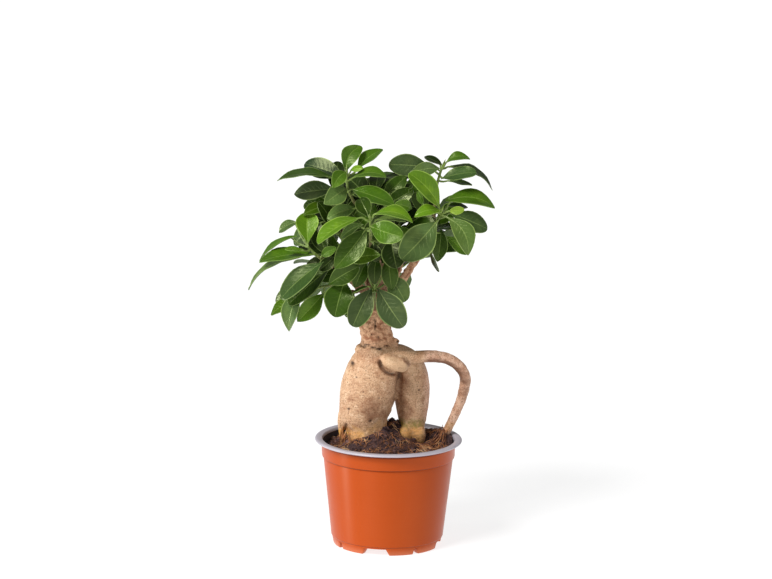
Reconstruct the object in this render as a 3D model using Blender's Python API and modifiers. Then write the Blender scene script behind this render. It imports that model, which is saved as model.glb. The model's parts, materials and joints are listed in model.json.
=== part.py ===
"""Ginseng ficus in its nursery pot: pot, soil, swollen root with trunk and branches, and leafy shoots.

Units are metres, +Z up. The origin is the middle of the pot's underside, on the surface it stands on.
The front of the plant looks along -Y, and +X is to the right when it is seen from the front.
Lists of places are in millimetres and turned into metres by MM.
"""
import math
import random

import bmesh
import bpy
from mathutils import Matrix, Vector, geometry, noise
from mathutils.bvhtree import BVHTree

MM = 0.001
GAP = 0.35 * MM                 # clearance between pieces that touch
MERGE = 0.0001                  # merge distance of modifiers, metres

# Pot, a thermoformed 12 cm nursery pot
POT_RIM_RADIUS = 60.0
POT_HEIGHT = 88.0
POT_WALL = 1.1
POT_FOOT_RADIUS = 44.6
POT_BASE_RADIUS = 45.8
POT_FOOT_HEIGHT = 6.5
POT_COLLAR_RADIUS = 54.6
POT_COLLAR_BOTTOM = 72.5
POT_SHOULDER_RADIUS = 52.9
POT_LIP_DROP = 3.6
POT_PAD_RADIUS = 11.0           # round pad in the middle of the underside
POT_STEPS = 32
# The foot ring: a wide gap at each quarter turn from the first angle (270 degrees is the front), and a
# small notch halfway between two of them, each with its half width in degrees at the top and bottom
FOOT_GAP_ANGLE = 257.5
WIDE_GAP, SMALL_NOTCH = (10.0, 14.6), (1.2, 3.4)

# Soil
SOIL_LEVEL = 80.5               # height of the soil at the pot's wall
# Middle x and y, height and spread of each heap or hollow
SOIL_HEAPS = [(4, 10, 19.0, 12), (-5, -13, 12.5, 9), (-24, -18, 8.5, 11), (28, 28, 5.0, 12), (46, 16, 9.0, 9),
              (2, -42, 3.0, 16), (-48, 4, -4.0, 11), (20, -18, 3.5, 9)]
SOIL_RINGS = 6
SOIL_SECTORS = 26

# The eye that the leaves were placed from: its distance and height, and the turn of the picture
EYE = Vector((0.0, -2800.0, 786.0))
PICTURE_TURN = math.radians(0.9)
RIM_LEVEL = 86.0

# Swollen root: limbs are tapered tubes through (x, height, toward the viewer, radius), millimetres
LIMBS = {
    "left_lobe": [(-12, 164, 0, 12.5), (-12, 155, 1, 18.4), (-14.2, 143, 1, 21.8), (-16.4, 130, 1, 23.8),
                  (-18.4, 118, 1, 23.0), (-20.0, 107, 1, 20.6), (-18.6, 98, 1, 17.4), (-18.4, 89, 2, 15.2),
                  (-18.5, 80, 2, 12.5), (-18, 72, 1, 9.5), (-17, 64, 0, 6.0)],
    "right_lobe": [(6, 157, -4, 10.0), (12.5, 151, -8, 13.2), (17, 141, -12, 14.9), (18.6, 129, -14, 14.9),
                   (18.8, 113, -14, 13.7), (19.2, 103, -12, 12.0), (19.6, 98, -11, 10.0),
                   (19.9, 92, -10, 10.3), (20, 84, -8, 9.2), (20, 74, -6, 7.0), (20, 65, -5, 4.5)],
    "neck": [(-11, 158, 0, 13.0), (-11, 166, 0, 12.8), (-10.5, 172, 0, 13.0), (-12.6, 181, 0, 13.1),
             (-11.5, 189, 0, 11.2), (-10, 197, 0, 9.0), (-8, 207, 0, 6.6), (-6, 215, 0, 4.6)],
    "arch_root": [(2, 153, 14, 6.4), (13, 155, 14, 5.7), (25, 155.8, 12, 5.3), (38, 156.4, 8, 5.1),
                  (49.5, 153.6, 3, 5.1), (58, 147, -1, 5.1), (61.8, 138, -5, 5.0), (60.2, 126, -9, 4.7),
                  (56, 113.4, -11, 4.3), (51.6, 103.3, -13, 4.1), (48, 95.5, -14, 3.9),
                  (45, 87, -14, 3.4), (42, 77, -13, 2.6)],
    "side_root": [(-36, 113, 2, 4.6), (-39.2, 104, 4, 3.2), (-39.4, 95, 4, 2.5), (-38.2, 86, 4, 2.1),
                  (-37, 76, 3, 1.8)],
    "branch_right": [(-7, 203, 0, 5.2), (2, 211, -1, 4.2), (9, 219, -2, 3.8), (18, 233, -3, 3.5),
                     (27, 247, -3, 3.0), (32, 255, -3, 2.6)],
    "branch_left": [(-11, 200, 3, 4.8), (-21, 209, 7, 3.9), (-34, 220, 10, 3.3), (-46, 230, 12, 2.7)],
    "branch_middle": [(-6, 212, 0, 4.6), (-7, 226, 0, 3.8), (-12, 242, 0, 3.3), (-17, 258, 0, 2.8),
                      (-20, 268, 0, 2.4)],
    "branch_front": [(-7, 214, 0, 4.0), (-9, 226, 8, 3.2), (-12, 238, 15, 2.6)],
    "branch_back_right": [(-5, 208, -3, 4.4), (3, 221, -16, 3.6), (9, 238, -27, 3.0), (13, 250, -34, 2.4)],
    "branch_back_left": [(-10, 204, -4, 4.4), (-20, 220, -16, 3.6), (-30, 240, -26, 3.0),
                         (-36, 254, -32, 2.4)],
}
# Swellings on the root: (x, height, toward, half sizes across, deep and up, turn in degrees)
SWELLINGS = [(-23, 88, 8, 9.0, 10.0, 10.0, 0), (-8, 94, 5, 7.5, 9.0, 8.0, 0), (-32.0, 109, 0, 8.8, 11, 11, 0),
             (5, 156, 2, 14.5, 13, 7.6, -24), (2.6, 150.6, 22.5, 11.6, 8.2, 6.4, -26),
             (9.0, 149.0, 22, 7.4, 7.6, 7.0, -20),
             (13.5, 90, 0, 5.8, 6.0, 8.5, 0), (25.5, 90, -4, 5.0, 6.0, 8.5, 0),
             (-23.0, 161.6, 4, 5.6, 6.0, 2.9, 12), (6.2, 168, 4, 3.0, 3.0, 2.6, 0)]
# Creases pressed into it, given alike: between the two legs, and under the knob above them
CREASES = [(8.0, 129, 7, 1.5, 11, 17, -7), (-2.8, 144.9, 20, 9.5, 5.5, 1.5, -40)]
ROOT_VOXEL = 1.5 * MM
ROOT_TRIANGLES = 1920

# Leaves
BLADE_THICK = 0.75 * MM
BLADE_RATIO = 0.5               # width of a grown leaf over its length
# Where a blade's cross rows stand along it (-1 is the stalk's foot), and where points stand across it
FULL_ROWS, FULL_ACROSS = [-1.0, 0.0, 0.16, 0.41, 0.69, 0.92, 1.0], (-1.0, 0.0, 1.0)
FEWER_ROWS = [-1.0, 0.0, 0.22, 0.55, 0.88, 1.0]
SHORT_LEAF = 33 * MM            # a leaf shorter than this, or a hidden one, has fewer rows
INNER_ACROSS = (-1.0, 1.0)
STALK_RADIUS = 0.7 * MM
STEM_RADIUS = 1.6 * MM
STEM_TIP_RADIUS = 0.95 * MM
SEAT_RUN = 4.0 * MM             # bare length of a stem next to the wood
SEAT_STRAIGHT = 1.5 * MM        # length over which it stands square on the wood
SIDEWAYS_STALK = 0.75           # cosine past which a stalk comes in from the blade's side
DOUBLED_BACK = 0.35             # cosine below which a stalk turns back on the blade
SIDE_STALK_REACH = 0.13         # how far along the blade such a stalk runs in
STALK_SET_BACK = 2.5 * MM       # how far below the nearest point of the stem a stalk starts
BLADE_CLEAR = 1.0 * MM          # clearance kept on each side of a blade when leaves are laid
FOLD = math.radians(10.0)       # of a hidden leaf along its midrib
ARCH_SHARE = 0.06               # rise of a blade's middle to the viewer over its length

# Leafy shoots. A stem runs through (x, height, toward) in millimetres as the picture shows them.
# A leaf is base x, height, toward, tip x, height, toward, seen width, the side it leans and bows to,
# the bow of its length, and the fold along its midrib in degrees.
SHOOTS = {
    "shoot_top_left": {
        "stem": [(-23, 273, 1), (-28.5, 284.5, 6), (-33, 295.5, 11), (-33.5, 306.5, 13)],
        "leaves": [
            (-34, 307, 13, -21.5, 328.5, 2, 14.5, "L", 4.5, 24),
            (-34, 307.5, 15, -44.5, 295, 30, 12, "L", 1.5, 18),
            (-31, 309, 13, -20.5, 311, 16, 4, "U", 0.5, 14),
            (-25.5, 309, 8, -4.5, 326, -4, 9.5, "L", 2, 16),
            (-30, 302, 14, -2, 304.5, 22, 8, "U", 3.5, 12),
            (-35, 303.5, 5, -67.5, 314.5, -8, 17, "U", 1, 6),
            (-43, 302.5, 10, -89.5, 301, 12, 6.5, "U", 4, 10),
            (-43, 293.5, 4, -76, 289.5, -8, 15.5, "U", 0.5, 10),
            (-33.5, 294, 15, -51, 282, 34, 16, "U", 1, 14),
            (-30, 293.5, 15, 5, 280.5, 30, 14, "U", 1.5, 12),
            (-26, 278, 13, -49, 270, 24, 12, "U", 1, 14),
            (-29.5, 292, 8, -3.5, 284.5, 14, 6.5, "U", 1, 8)]},
    "shoot_centre_front": {
        "stem": [(-12.5, 241, 17), (-14.5, 252, 30), (-14.5, 261.5, 43), (-15, 269, 52)],
        "leaves": [
            (-15.5, 270, 50, -23, 286.5, 38, 13, "L", 0, 22),
            (-11.5, 273, 53, 19.5, 267.5, 58, 9.5, "U", 4, 14),
            (-21.5, 270.5, 52, -57.5, 249.5, 66, 10.5, "U", 2.5, 18),
            (-15, 263.5, 57, 11, 254.5, 76, 18.5, "U", -1, 8),
            (-17.5, 261.5, 46, -43.5, 228.5, 58, 20, "L", 0, 12),
            (-20.5, 265, 38, -39, 253, 30, 8, "U", 1, 10),
            (-10, 268.5, 42, 14, 268.5, 40, 5.5, "U", 1, 10),
            (2, 253.5, 32, 6.5, 229, 44, 20, "R", 0, 10),
            (-12.5, 250, 33, -9.5, 234, 38, 11.5, "R", 0, 12),
            (-33.5, 235, 32, -7, 240, 44, 7.5, "U", 0.5, 14)]},
    "shoot_low_front": {
        "stem": [(-10.5, 196, 11), (-11.5, 205, 20), (-11.5, 212.5, 24)],
        "leaves": [
            (-13.5, 212.5, 27, -29, 180.5, 37, 20, "L", 0, 14),
            (-9, 212.5, 27, 12, 180, 38, 22, "R", 0, 12), (0.5, 224, 22, 13.5, 201, 27, 18, "R", 0, 10),
            (-9.5, 239.5, 26, -11.5, 215.5, 32, 11.5, "L", 0, 14),
            (-18, 234.5, 24, -27.5, 212.5, 28, 13, "L", 0, 14),
            (-0.5, 238, 24, 2.5, 210.5, 29, 14, "R", 0, 14),
            (-16.5, 214, 27, -28.5, 209, 31, 5, "U", 0, 14)]},
    "shoot_low_left": {
        "stem": [(-27, 206.5, 14), (-36, 212.5, 19), (-47, 214.5, 19), (-57, 212.5, 17), (-66, 212, 15)],
        "leaves": [
            (-28, 208, 16, -33.5, 188, 22, 13, "L", 0, 10), (-49, 215, 28, -24, 230, 38, 16, "U", 0, 12),
            (-35, 219, 20, -43.5, 188.5, 33, 25, "L", 0, 10),
            (-52.5, 208, 17, -74, 184.5, 22, 15.5, "U", 0, 14),
            (-71, 212.5, 15, -81.5, 176.5, 20, 15.5, "L", 2.5, 16),
            (-75, 205, 8, -96, 190.5, 6, 9, "U", 0, 12)]},
    "shoot_left": {
        "stem": [(-47.5, 231.5, 12.5), (-57, 238.5, 16), (-63.5, 244.5, 18), (-65.5, 248, 17)],
        "leaves": [
            (-65, 247.5, 20, -65, 275, 6, 18.5, "L", 0, 22),
            (-73, 266.5, 8, -88.5, 258, 2, 7.5, "U", 1.5, 14),
            (-74, 255.5, 14, -104.5, 235, 8, 4, "U", 3, 12),
            (-60, 240, 20, -104.5, 234, 30, 10.5, "U", 2, 12),
            (-69, 243.5, 27, -83.5, 244.5, 31, 4, "U", 0, 14),
            (-79, 236, 12, -113.5, 211, 4, 4, "U", 5.5, 10),
            (-52.5, 234, 28, -87.5, 204, 36, 17, "U", 2, 8),
            (-46.5, 230, 20, -81.5, 199, 20, 14, "U", 0, 12),
            (-64.5, 215.5, 8, -92, 201, 0, 10.5, "U", 0, 10),
            (-54.5, 238, 20, -42.5, 245.5, 26, 8, "U", 1, 16),
            (-49.5, 238.5, 14, -61, 267.5, 2, 14, "L", 0, 12),
            (-43, 238, 20, -55.5, 227, 26, 10.5, "U", 0, 12)]},
    "shoot_left_upper": {
        "stem": [(-33.5, 249.5, -24), (-39, 262.5, -19), (-44.5, 275.5, -12), (-45, 285.5, -8)],
        "leaves": [
            (-46.5, 279.5, -2, -68.5, 273, 8, 9.5, "U", 1, 20),
            (-48.5, 284, -10, -68.5, 279, -16, 9, "U", 1, 10),
            (-44, 290.5, -10, -40, 316.5, -24, 14.5, "L", 0, 8),
            (-53.5, 266.5, -8, -76.5, 248, -16, 14, "U", 1, 10)]},
    "shoot_upper_middle": {
        "stem": [(-11.5, 252.5, 0), (-6, 264, 0), (0, 279, 3), (6, 287, 6)],
        "leaves": [
            (19, 277.5, 16, 6, 282, 26, 10.5, "U", 1, 14), (7.5, 285.5, 7, -2, 300, -6, 16, "L", 0, 12),
            (9.5, 286.5, 9, 19, 298, 2, 8, "L", 0, 18), (-3, 287, 2, -11, 300, -6, 11.5, "L", 0, 10),
            (11.5, 290.5, 0, 28.5, 301, -14, 13, "U", 0, 10),
            (-14, 284, -4, -22, 303, -16, 14, "L", 0, 10)]},
    "shoot_top_right": {
        "stem": [(35.5, 262.5, -4), (37, 277.5, -6), (38.5, 294.5, -6), (41.5, 306.5, 0), (43.5, 312, 3)],
        "leaves": [
            (35, 311, -2, 0, 313.5, -8, 18.5, "U", 1, 6),
            (22, 303, -6, -2.5, 304, -10, 5.5, "U", 0.5, 10),
            (41.5, 310.5, 3, 19.5, 308, 10, 11.5, "U", 1, 10),
            (46, 315, 6, 65.5, 318.5, 6, 7, "U", 4, 12), (42, 302, 7, 70.5, 307.5, 12, 10.5, "U", 1, 10),
            (48, 312, 0, 84.5, 294, -6, 5.5, "U", 5.5, 10),
            (48, 300.5, -2, 67.5, 297.5, -4, 4, "U", 0, 10),
            (43.5, 313, 0, 29, 320.5, -8, 5.5, "U", 0, 12)]},
    "shoot_right": {
        "stem": [(28.5, 244.5, 4), (34.5, 256, 17), (40.5, 270.5, 18), (42.5, 275, 22)],
        "leaves": [
            (41.5, 277.5, 25, 16.5, 306.5, 36, 15.5, "R", 2.5, 16),
            (48, 275.5, 25, 61, 277, 27, 6.5, "U", 0, 10),
            (42.5, 275, 28, 21, 271.5, 34, 9, "U", 2.5, 12),
            (28.5, 280, 22, 23.5, 291.5, 18, 5, "L", 0, 16),
            (45.5, 284, 12, 86, 279.5, 8, 13, "U", 5.5, 8), (46, 280, 8, 64, 279, 2, 5, "U", 0.5, 8),
            (39, 267.5, 28, 10.5, 236, 44, 26, "R", 1, 8),
            (47.5, 270.5, 24, 64.5, 239.5, 34, 17, "R", 5, 10),
            (49.5, 274, 12, 80, 261, 4, 15.5, "U", 1, 6), (42.5, 261, 14, 39.5, 234, 20, 13, "R", 0, 10),
            (46.5, 255, 6, 63.5, 240, 2, 9.5, "U", 0, 14),
            (33.5, 243, 8, 40.5, 225.5, 10, 3, "L", 0, 10),
            (7, 264, 30, 15.5, 249, 34, 13, "R", 0, 10)]},
}
# Shoots that the picture doesn't show: first point, last point, how many leaves, and what they face
BACKWARD, FORWARD = Vector((0, 0.5, 1.0)), Vector((0, -1.0, 0.75))
HIDDEN_SHOOTS = {
    "shoot_back_left": ((-39, 261, -36), (-56, 270, -54), 10, BACKWARD),
    "shoot_back_middle": ((-15, 254, -5), (-14, 290, -38), 10, BACKWARD),
    "shoot_back_right": ((13.5, 252, -36), (29, 270, -54), 10, BACKWARD),
    "shoot_back_low": ((6, 230, -25), (2, 230, -50), 9, BACKWARD),
    "shoot_back_side": ((24, 240, -8), (42, 252, -34), 8, BACKWARD),
    "shoot_back_corner": ((-29, 226, -29), (-46, 226, -54), 8, BACKWARD),
    "shoot_inner_left": ((-31, 220, 6), (-44, 262, -2), 18, FORWARD),
    "shoot_inner_middle": ((-9, 238, -4), (4, 262, -10), 18, FORWARD),
    "shoot_inner_right": ((16, 229, -7), (32, 268, -16), 20, FORWARD),
    "shoot_inner_top": ((-15, 252, 3), (-16, 286, 8), 18, FORWARD),
    "shoot_inner_low": ((-24, 219, 6), (-29, 232, 2), 11, FORWARD),
}
HIDDEN_LEAF_LENGTH = (27.0, 40.0)
HIDDEN_STALK = 8.0
HIDDEN_TOWARD = 12.0            # nearest that such a leaf's tip comes to the viewer
AWAY = Vector((0, 1, 0))
GOLDEN_ANGLE = math.radians(137.5)
# Outline of the crown as the picture sees it, which the hidden shoots' leaves stay inside
CROWN_OUTLINE = [(-74, 262), (-66, 290), (-44, 304), (-4, 309), (34, 312), (62, 298), (72, 272), (66, 248),
                 (40, 241), (10, 232), (12, 206), (-12, 196), (-50, 192), (-84, 204), (-78, 240)]

GREENS = {"top": (0.05, 0.14, 0.025), "front": (0.08, 0.22, 0.03), "back": (0.035, 0.10, 0.02)}


def material(name, colour, roughness):
    """A Principled material of one colour."""
    made = bpy.data.materials.new(name)
    made.use_nodes = True
    shader = made.node_tree.nodes["Principled BSDF"]
    shader.inputs["Base Color"].default_value = (*colour, 1.0)
    shader.inputs["Roughness"].default_value = roughness
    shader.inputs["Metallic"].default_value = 0.0
    return made


def collection(name):
    made = bpy.data.collections.new(name)
    bpy.context.scene.collection.children.link(made)
    return made


def new_object(name, mesh, home):
    made = bpy.data.objects.new(name, mesh)
    home.objects.link(made)
    return made


def evaluated_mesh(thing, weld=True):
    """The mesh of an object with its modifiers, caps welded."""
    bpy.context.view_layer.update()
    graph = bpy.context.evaluated_depsgraph_get()
    mesh = bpy.data.meshes.new_from_object(thing.evaluated_get(graph))
    mesh.transform(thing.matrix_world)
    if not weld:
        return mesh
    work = bmesh.new()
    work.from_mesh(mesh)
    bmesh.ops.remove_doubles(work, verts=work.verts, dist=0.00001)
    work.to_mesh(mesh)
    work.free()
    return mesh


def made_solid(thing, name, home):
    """Replaces an object with a plain mesh object of its evaluated shape."""
    solid = new_object(name, evaluated_mesh(thing), home)
    bpy.data.objects.remove(thing)
    return solid


def on_sight(x, height, toward):
    """The point on the line from the eye through (x, height) above the pot's axis, moved to the viewer."""
    on_plane = Vector((x, 0.0, height))
    return (on_plane + (EYE - on_plane).normalized() * toward) * MM


def as_pictured(x, height, toward):
    """The same for a place read in the picture, which is turned a little about the rim's middle."""
    c, s = math.cos(PICTURE_TURN), math.sin(PICTURE_TURN)
    up = height - RIM_LEVEL
    return on_sight(x * c - up * s, RIM_LEVEL + up * c + x * s, toward)


def tube(name, points, radii, sides, home):
    """A tapered round bar through the points, as a mesh object. sides is 4, 6, 8 and so on."""
    curve = bpy.data.curves.new(name, "CURVE")
    curve.dimensions = "3D"
    curve.bevel_depth = 1.0
    curve.bevel_resolution = (sides - 4) // 2
    curve.use_fill_caps = True
    spline = curve.splines.new("POLY")
    spline.points.add(len(points) - 1)
    for spot, point, radius in zip(spline.points, points, radii):
        spot.co = (*point, 1.0)
        spot.radius = radius
    return made_solid(new_object(name + "_curve", curve, home), name, home)


def smooth_route(points, per_span, leaving=None):
    """Points of a smooth curve through the given vectors, ends included. leaving is its first direction."""
    runs = [(after - before).normalized() for before, after in zip(points, points[2:])]
    runs = [leaving or (points[1] - points[0]).normalized()] + runs + [(points[-1] - points[-2]).normalized()]
    route = [points[0]]
    for a, b, run_a, run_b in zip(points, points[1:], runs, runs[1:]):
        handle = (b - a).length / 3
        route += geometry.interpolate_bezier(a, a + run_a * handle, b - run_b * handle, b, per_span + 1)[1:]
    return route


def add_boolean(thing, operation, operand=None, group=None):
    cut = thing.modifiers.new(operation.lower(), "BOOLEAN")
    cut.operation = operation
    cut.solver = "EXACT"
    if group:
        cut.operand_type = "COLLECTION"
        cut.collection = group
    else:
        cut.object = operand
    return cut


def pot_profile():
    """Radius and height from the middle of the floor inside, up the wall, over the lip and under it."""
    wall = POT_WALL
    floor = POT_FOOT_HEIGHT + wall
    return [(0.0, floor), (POT_BASE_RADIUS - wall - 2.0, floor), (POT_BASE_RADIUS - wall, floor + 2.0),
            (POT_SHOULDER_RADIUS - wall, POT_COLLAR_BOTTOM - 1.0),
            (POT_COLLAR_RADIUS - wall - 0.4, POT_COLLAR_BOTTOM + 0.6),
            (POT_COLLAR_RADIUS - wall, POT_HEIGHT - 1.2), (POT_COLLAR_RADIUS + 0.6, POT_HEIGHT),
            (POT_RIM_RADIUS - 1.4, POT_HEIGHT), (POT_RIM_RADIUS, POT_HEIGHT - 1.3),
            (POT_RIM_RADIUS - 0.3, POT_HEIGHT - POT_LIP_DROP),
            (POT_RIM_RADIUS - 1.6, POT_HEIGHT - POT_LIP_DROP),
            (POT_COLLAR_RADIUS + 0.2, POT_HEIGHT - 4.6), (POT_COLLAR_RADIUS - 0.5, POT_COLLAR_BOTTOM + 0.8),
            (POT_SHOULDER_RADIUS, POT_COLLAR_BOTTOM - 0.6), (POT_BASE_RADIUS, POT_FOOT_HEIGHT + 0.5),
            (POT_FOOT_RADIUS + 0.3, POT_FOOT_HEIGHT - 0.6), (POT_FOOT_RADIUS - 0.7, 0.0),
            (POT_FOOT_RADIUS - 6.5, 0.0), (POT_FOOT_RADIUS - 7.5, POT_FOOT_HEIGHT),
            (POT_PAD_RADIUS + 1.0, POT_FOOT_HEIGHT), (POT_PAD_RADIUS, 0.0), (0.0, 0.0)]


def foot_gap_cutter(name, angle, top_half, bottom_half, home):
    """A wedge that opens the foot ring between two feet, wider at the ground."""
    work = bmesh.new()
    bmesh.ops.create_cube(work, size=1.0)
    inner, outer = (POT_PAD_RADIUS + 6.0) * MM, (POT_RIM_RADIUS + 4.0) * MM
    low, high = -2.0 * MM, (POT_FOOT_HEIGHT - 0.9) * MM
    for vert in work.verts:
        half = top_half if vert.co.z > 0 else bottom_half
        turn = math.radians(angle + (half if vert.co.y > 0 else -half) * (1.0 if vert.co.x > 0 else 1.6))
        radius = outer if vert.co.x > 0 else inner
        vert.co = (radius * math.cos(turn), radius * math.sin(turn), high if vert.co.z > 0 else low)
    mesh = bpy.data.meshes.new(name)
    work.to_mesh(mesh)
    work.free()
    return new_object(name, mesh, home)


def make_pot(home, cutters):
    profile = bpy.data.meshes.new("pot")
    points = [(radius * MM, 0.0, height * MM) for radius, height in pot_profile()]
    profile.from_pydata(points, [(i, i + 1) for i in range(len(points) - 1)], [])
    pot = new_object("pot", profile, home)
    turn = pot.modifiers.new("turn", "SCREW")
    turn.axis = "Z"
    turn.steps = turn.render_steps = POT_STEPS
    turn.use_merge_vertices = True
    turn.merge_threshold = MERGE
    turn.use_smooth_shade = True
    gaps = bpy.data.collections.new("foot gaps")
    cutters.children.link(gaps)
    for number in range(8):
        top_half, bottom_half = SMALL_NOTCH if number % 2 else WIDE_GAP
        angle = FOOT_GAP_ANGLE + 45 * number
        cutter = foot_gap_cutter(f"foot_gap_{number}", angle, top_half, bottom_half, gaps)
        cutter.hide_render = True
        cutter.display_type = "WIRE"
    add_boolean(pot, "DIFFERENCE", group=gaps)
    pot.data.materials.append(material("pot plastic", (0.72, 0.17, 0.045), 0.42))
    return pot


def swelling(name, x, height, toward, across, deep, up, turn, home):
    """A rounded lump on the root."""
    work = bmesh.new()
    bmesh.ops.create_icosphere(work, subdivisions=4, radius=1.0)
    place = Matrix.Translation(on_sight(x, height, toward)) @ Matrix.Rotation(math.radians(-turn), 4, "Y")
    work.transform(place @ Matrix.Diagonal((across * MM, deep * MM, up * MM, 1.0)))
    mesh = bpy.data.meshes.new(name)
    work.to_mesh(mesh)
    work.free()
    return new_object(name, mesh, home)


def limb_route(limb):
    """Places and radii along a limb, close enough together to be smooth."""
    places = smooth_route([on_sight(x, height, toward) for x, height, toward, radius in limb], 4)
    sizes = smooth_route([Vector((radius, 0, 0)) * MM for x, height, toward, radius in limb], 4)
    return places, [size.x for size in sizes]


def make_root(home, scratch):
    """The swollen root, neck and branches grown together as one skin."""
    lumps = [swelling(f"swelling_{i}", *lump, scratch) for i, lump in enumerate(SWELLINGS)]
    for name, limb in LIMBS.items():
        places, radii = limb_route(limb)
        lumps.append(tube(name, places, radii, 16, scratch))
        for place, radius, end in ((places[0], radii[0], 0), (places[-1], radii[-1], 1)):
            if name.startswith("branch") and end:
                continue
            work = bmesh.new()
            bmesh.ops.create_icosphere(work, subdivisions=3, radius=radius)
            work.transform(Matrix.Translation(place))
            mesh = bpy.data.meshes.new(f"{name}_end_{end}")
            work.to_mesh(mesh)
            work.free()
            lumps.append(new_object(mesh.name, mesh, scratch))
    skin = bmesh.new()
    for lump in lumps:
        skin.from_mesh(lump.data)
    mesh = bpy.data.meshes.new("root_trunk")
    skin.to_mesh(mesh)
    skin.free()
    for lump in lumps:
        bpy.data.objects.remove(lump)
    grown = new_object("grown_root", mesh, scratch)
    remesh = grown.modifiers.new("one skin", "REMESH")
    remesh.mode = "VOXEL"
    remesh.voxel_size = ROOT_VOXEL
    melt = grown.modifiers.new("melt joints", "SMOOTH")
    melt.factor = 0.5
    melt.iterations = 5
    creases = collection("creases")
    for i, crease in enumerate(CREASES):
        swelling(f"crease_{i}", *crease, creases)
    add_boolean(grown, "DIFFERENCE", group=creases)
    fewer = grown.modifiers.new("fewer faces", "DECIMATE")
    bpy.context.view_layer.update()
    graph = bpy.context.evaluated_depsgraph_get()
    fewer.show_viewport = False
    graph.update()
    faces = len(grown.evaluated_get(graph).data.polygons) * 2
    fewer.show_viewport = True
    fewer.ratio = ROOT_TRIANGLES / faces
    root = made_solid(grown, "root_trunk", home)
    for crease in list(creases.objects):
        bpy.data.objects.remove(crease)
    bpy.data.collections.remove(creases)
    root.data.shade_smooth()
    root.data.materials.append(material("bark", (0.50, 0.33, 0.19), 0.75))
    return root


def soil_height(x, y):
    """Height of the soil in millimetres: heaped behind and between the legs, low at the left wall."""
    heap = 0.0
    for middle_x, middle_y, height, spread in SOIL_HEAPS:
        heap += height * math.exp(-((x - middle_x) ** 2 + (y - middle_y) ** 2) / (2 * spread ** 2))
    return SOIL_LEVEL + heap + 1.1 * noise.noise(Vector((x, y, 0.0)) * 0.16)


def pot_inside_radius(height):
    """Radius of the pot's inner wall at a height, millimetres."""
    inside = pot_profile()[1:6]
    for (low_radius, low), (high_radius, high) in zip(inside, inside[1:]):
        if height <= high:
            return low_radius + (high_radius - low_radius) * (height - low) / (high - low)
    return inside[-1][0]


def make_soil(home, root, cutters):
    """The root ball of soil: a turned block whose top is drawn up to the soil's own height."""
    floor = POT_FOOT_HEIGHT + POT_WALL + GAP / MM
    slack = GAP / MM / math.cos(math.pi / POT_STEPS) + POT_RIM_RADIUS * (1 - math.cos(math.pi / POT_STEPS))
    work = bmesh.new()
    rows = []
    for ring in range(SOIL_RINGS + 1):
        row = []
        for sector in range(SOIL_SECTORS if ring else 1):
            turn = 2 * math.pi * sector / SOIL_SECTORS
            reach = (pot_inside_radius(SOIL_LEVEL) - slack) * ring / SOIL_RINGS
            x, y = reach * math.cos(turn), reach * math.sin(turn)
            row.append(work.verts.new((x * MM, y * MM, soil_height(x, y) * MM)))
        rows.append(row)
    for height in (POT_COLLAR_BOTTOM - 1.0, floor + 2.0, floor):
        row = []
        for sector in range(SOIL_SECTORS):
            turn = 2 * math.pi * sector / SOIL_SECTORS
            reach = pot_inside_radius(height) - slack
            x, y = reach * math.cos(turn), reach * math.sin(turn)
            row.append(work.verts.new((x * MM, y * MM, height * MM)))
        rows.append(row)
    for upper, lower in zip(rows[1:], rows[2:]):
        for i in range(SOIL_SECTORS):
            j = (i + 1) % SOIL_SECTORS
            work.faces.new((upper[i], lower[i], lower[j]))
            work.faces.new((upper[i], lower[j], upper[j]))
    for i in range(SOIL_SECTORS):
        work.faces.new((rows[0][0], rows[1][i], rows[1][(i + 1) % SOIL_SECTORS]))
    work.faces.new(list(reversed(rows[-1])))
    mesh = bpy.data.meshes.new("soil")
    work.to_mesh(mesh)
    work.free()
    soil = new_object("soil", mesh, home)
    hole = new_object("root_hole", root.data.copy(), cutters)
    hole.hide_render = True
    hole.display_type = "WIRE"
    grow = hole.modifiers.new("clearance", "DISPLACE")
    grow.strength = 0.45 * MM
    grow.mid_level = 0.0
    add_boolean(soil, "DIFFERENCE", operand=hole).use_self = True
    soil.data.materials.append(material("peat", (0.055, 0.03, 0.022), 0.95))
    return soil


def blade_width(along):
    """Half width of a blade over its greatest half width: drawn in at the base, blunt at the tip."""
    return math.sin(math.pi * along ** 1.18) ** (0.95 - 0.35 * along) if 0.0 < along < 1.0 else 0.0


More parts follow.
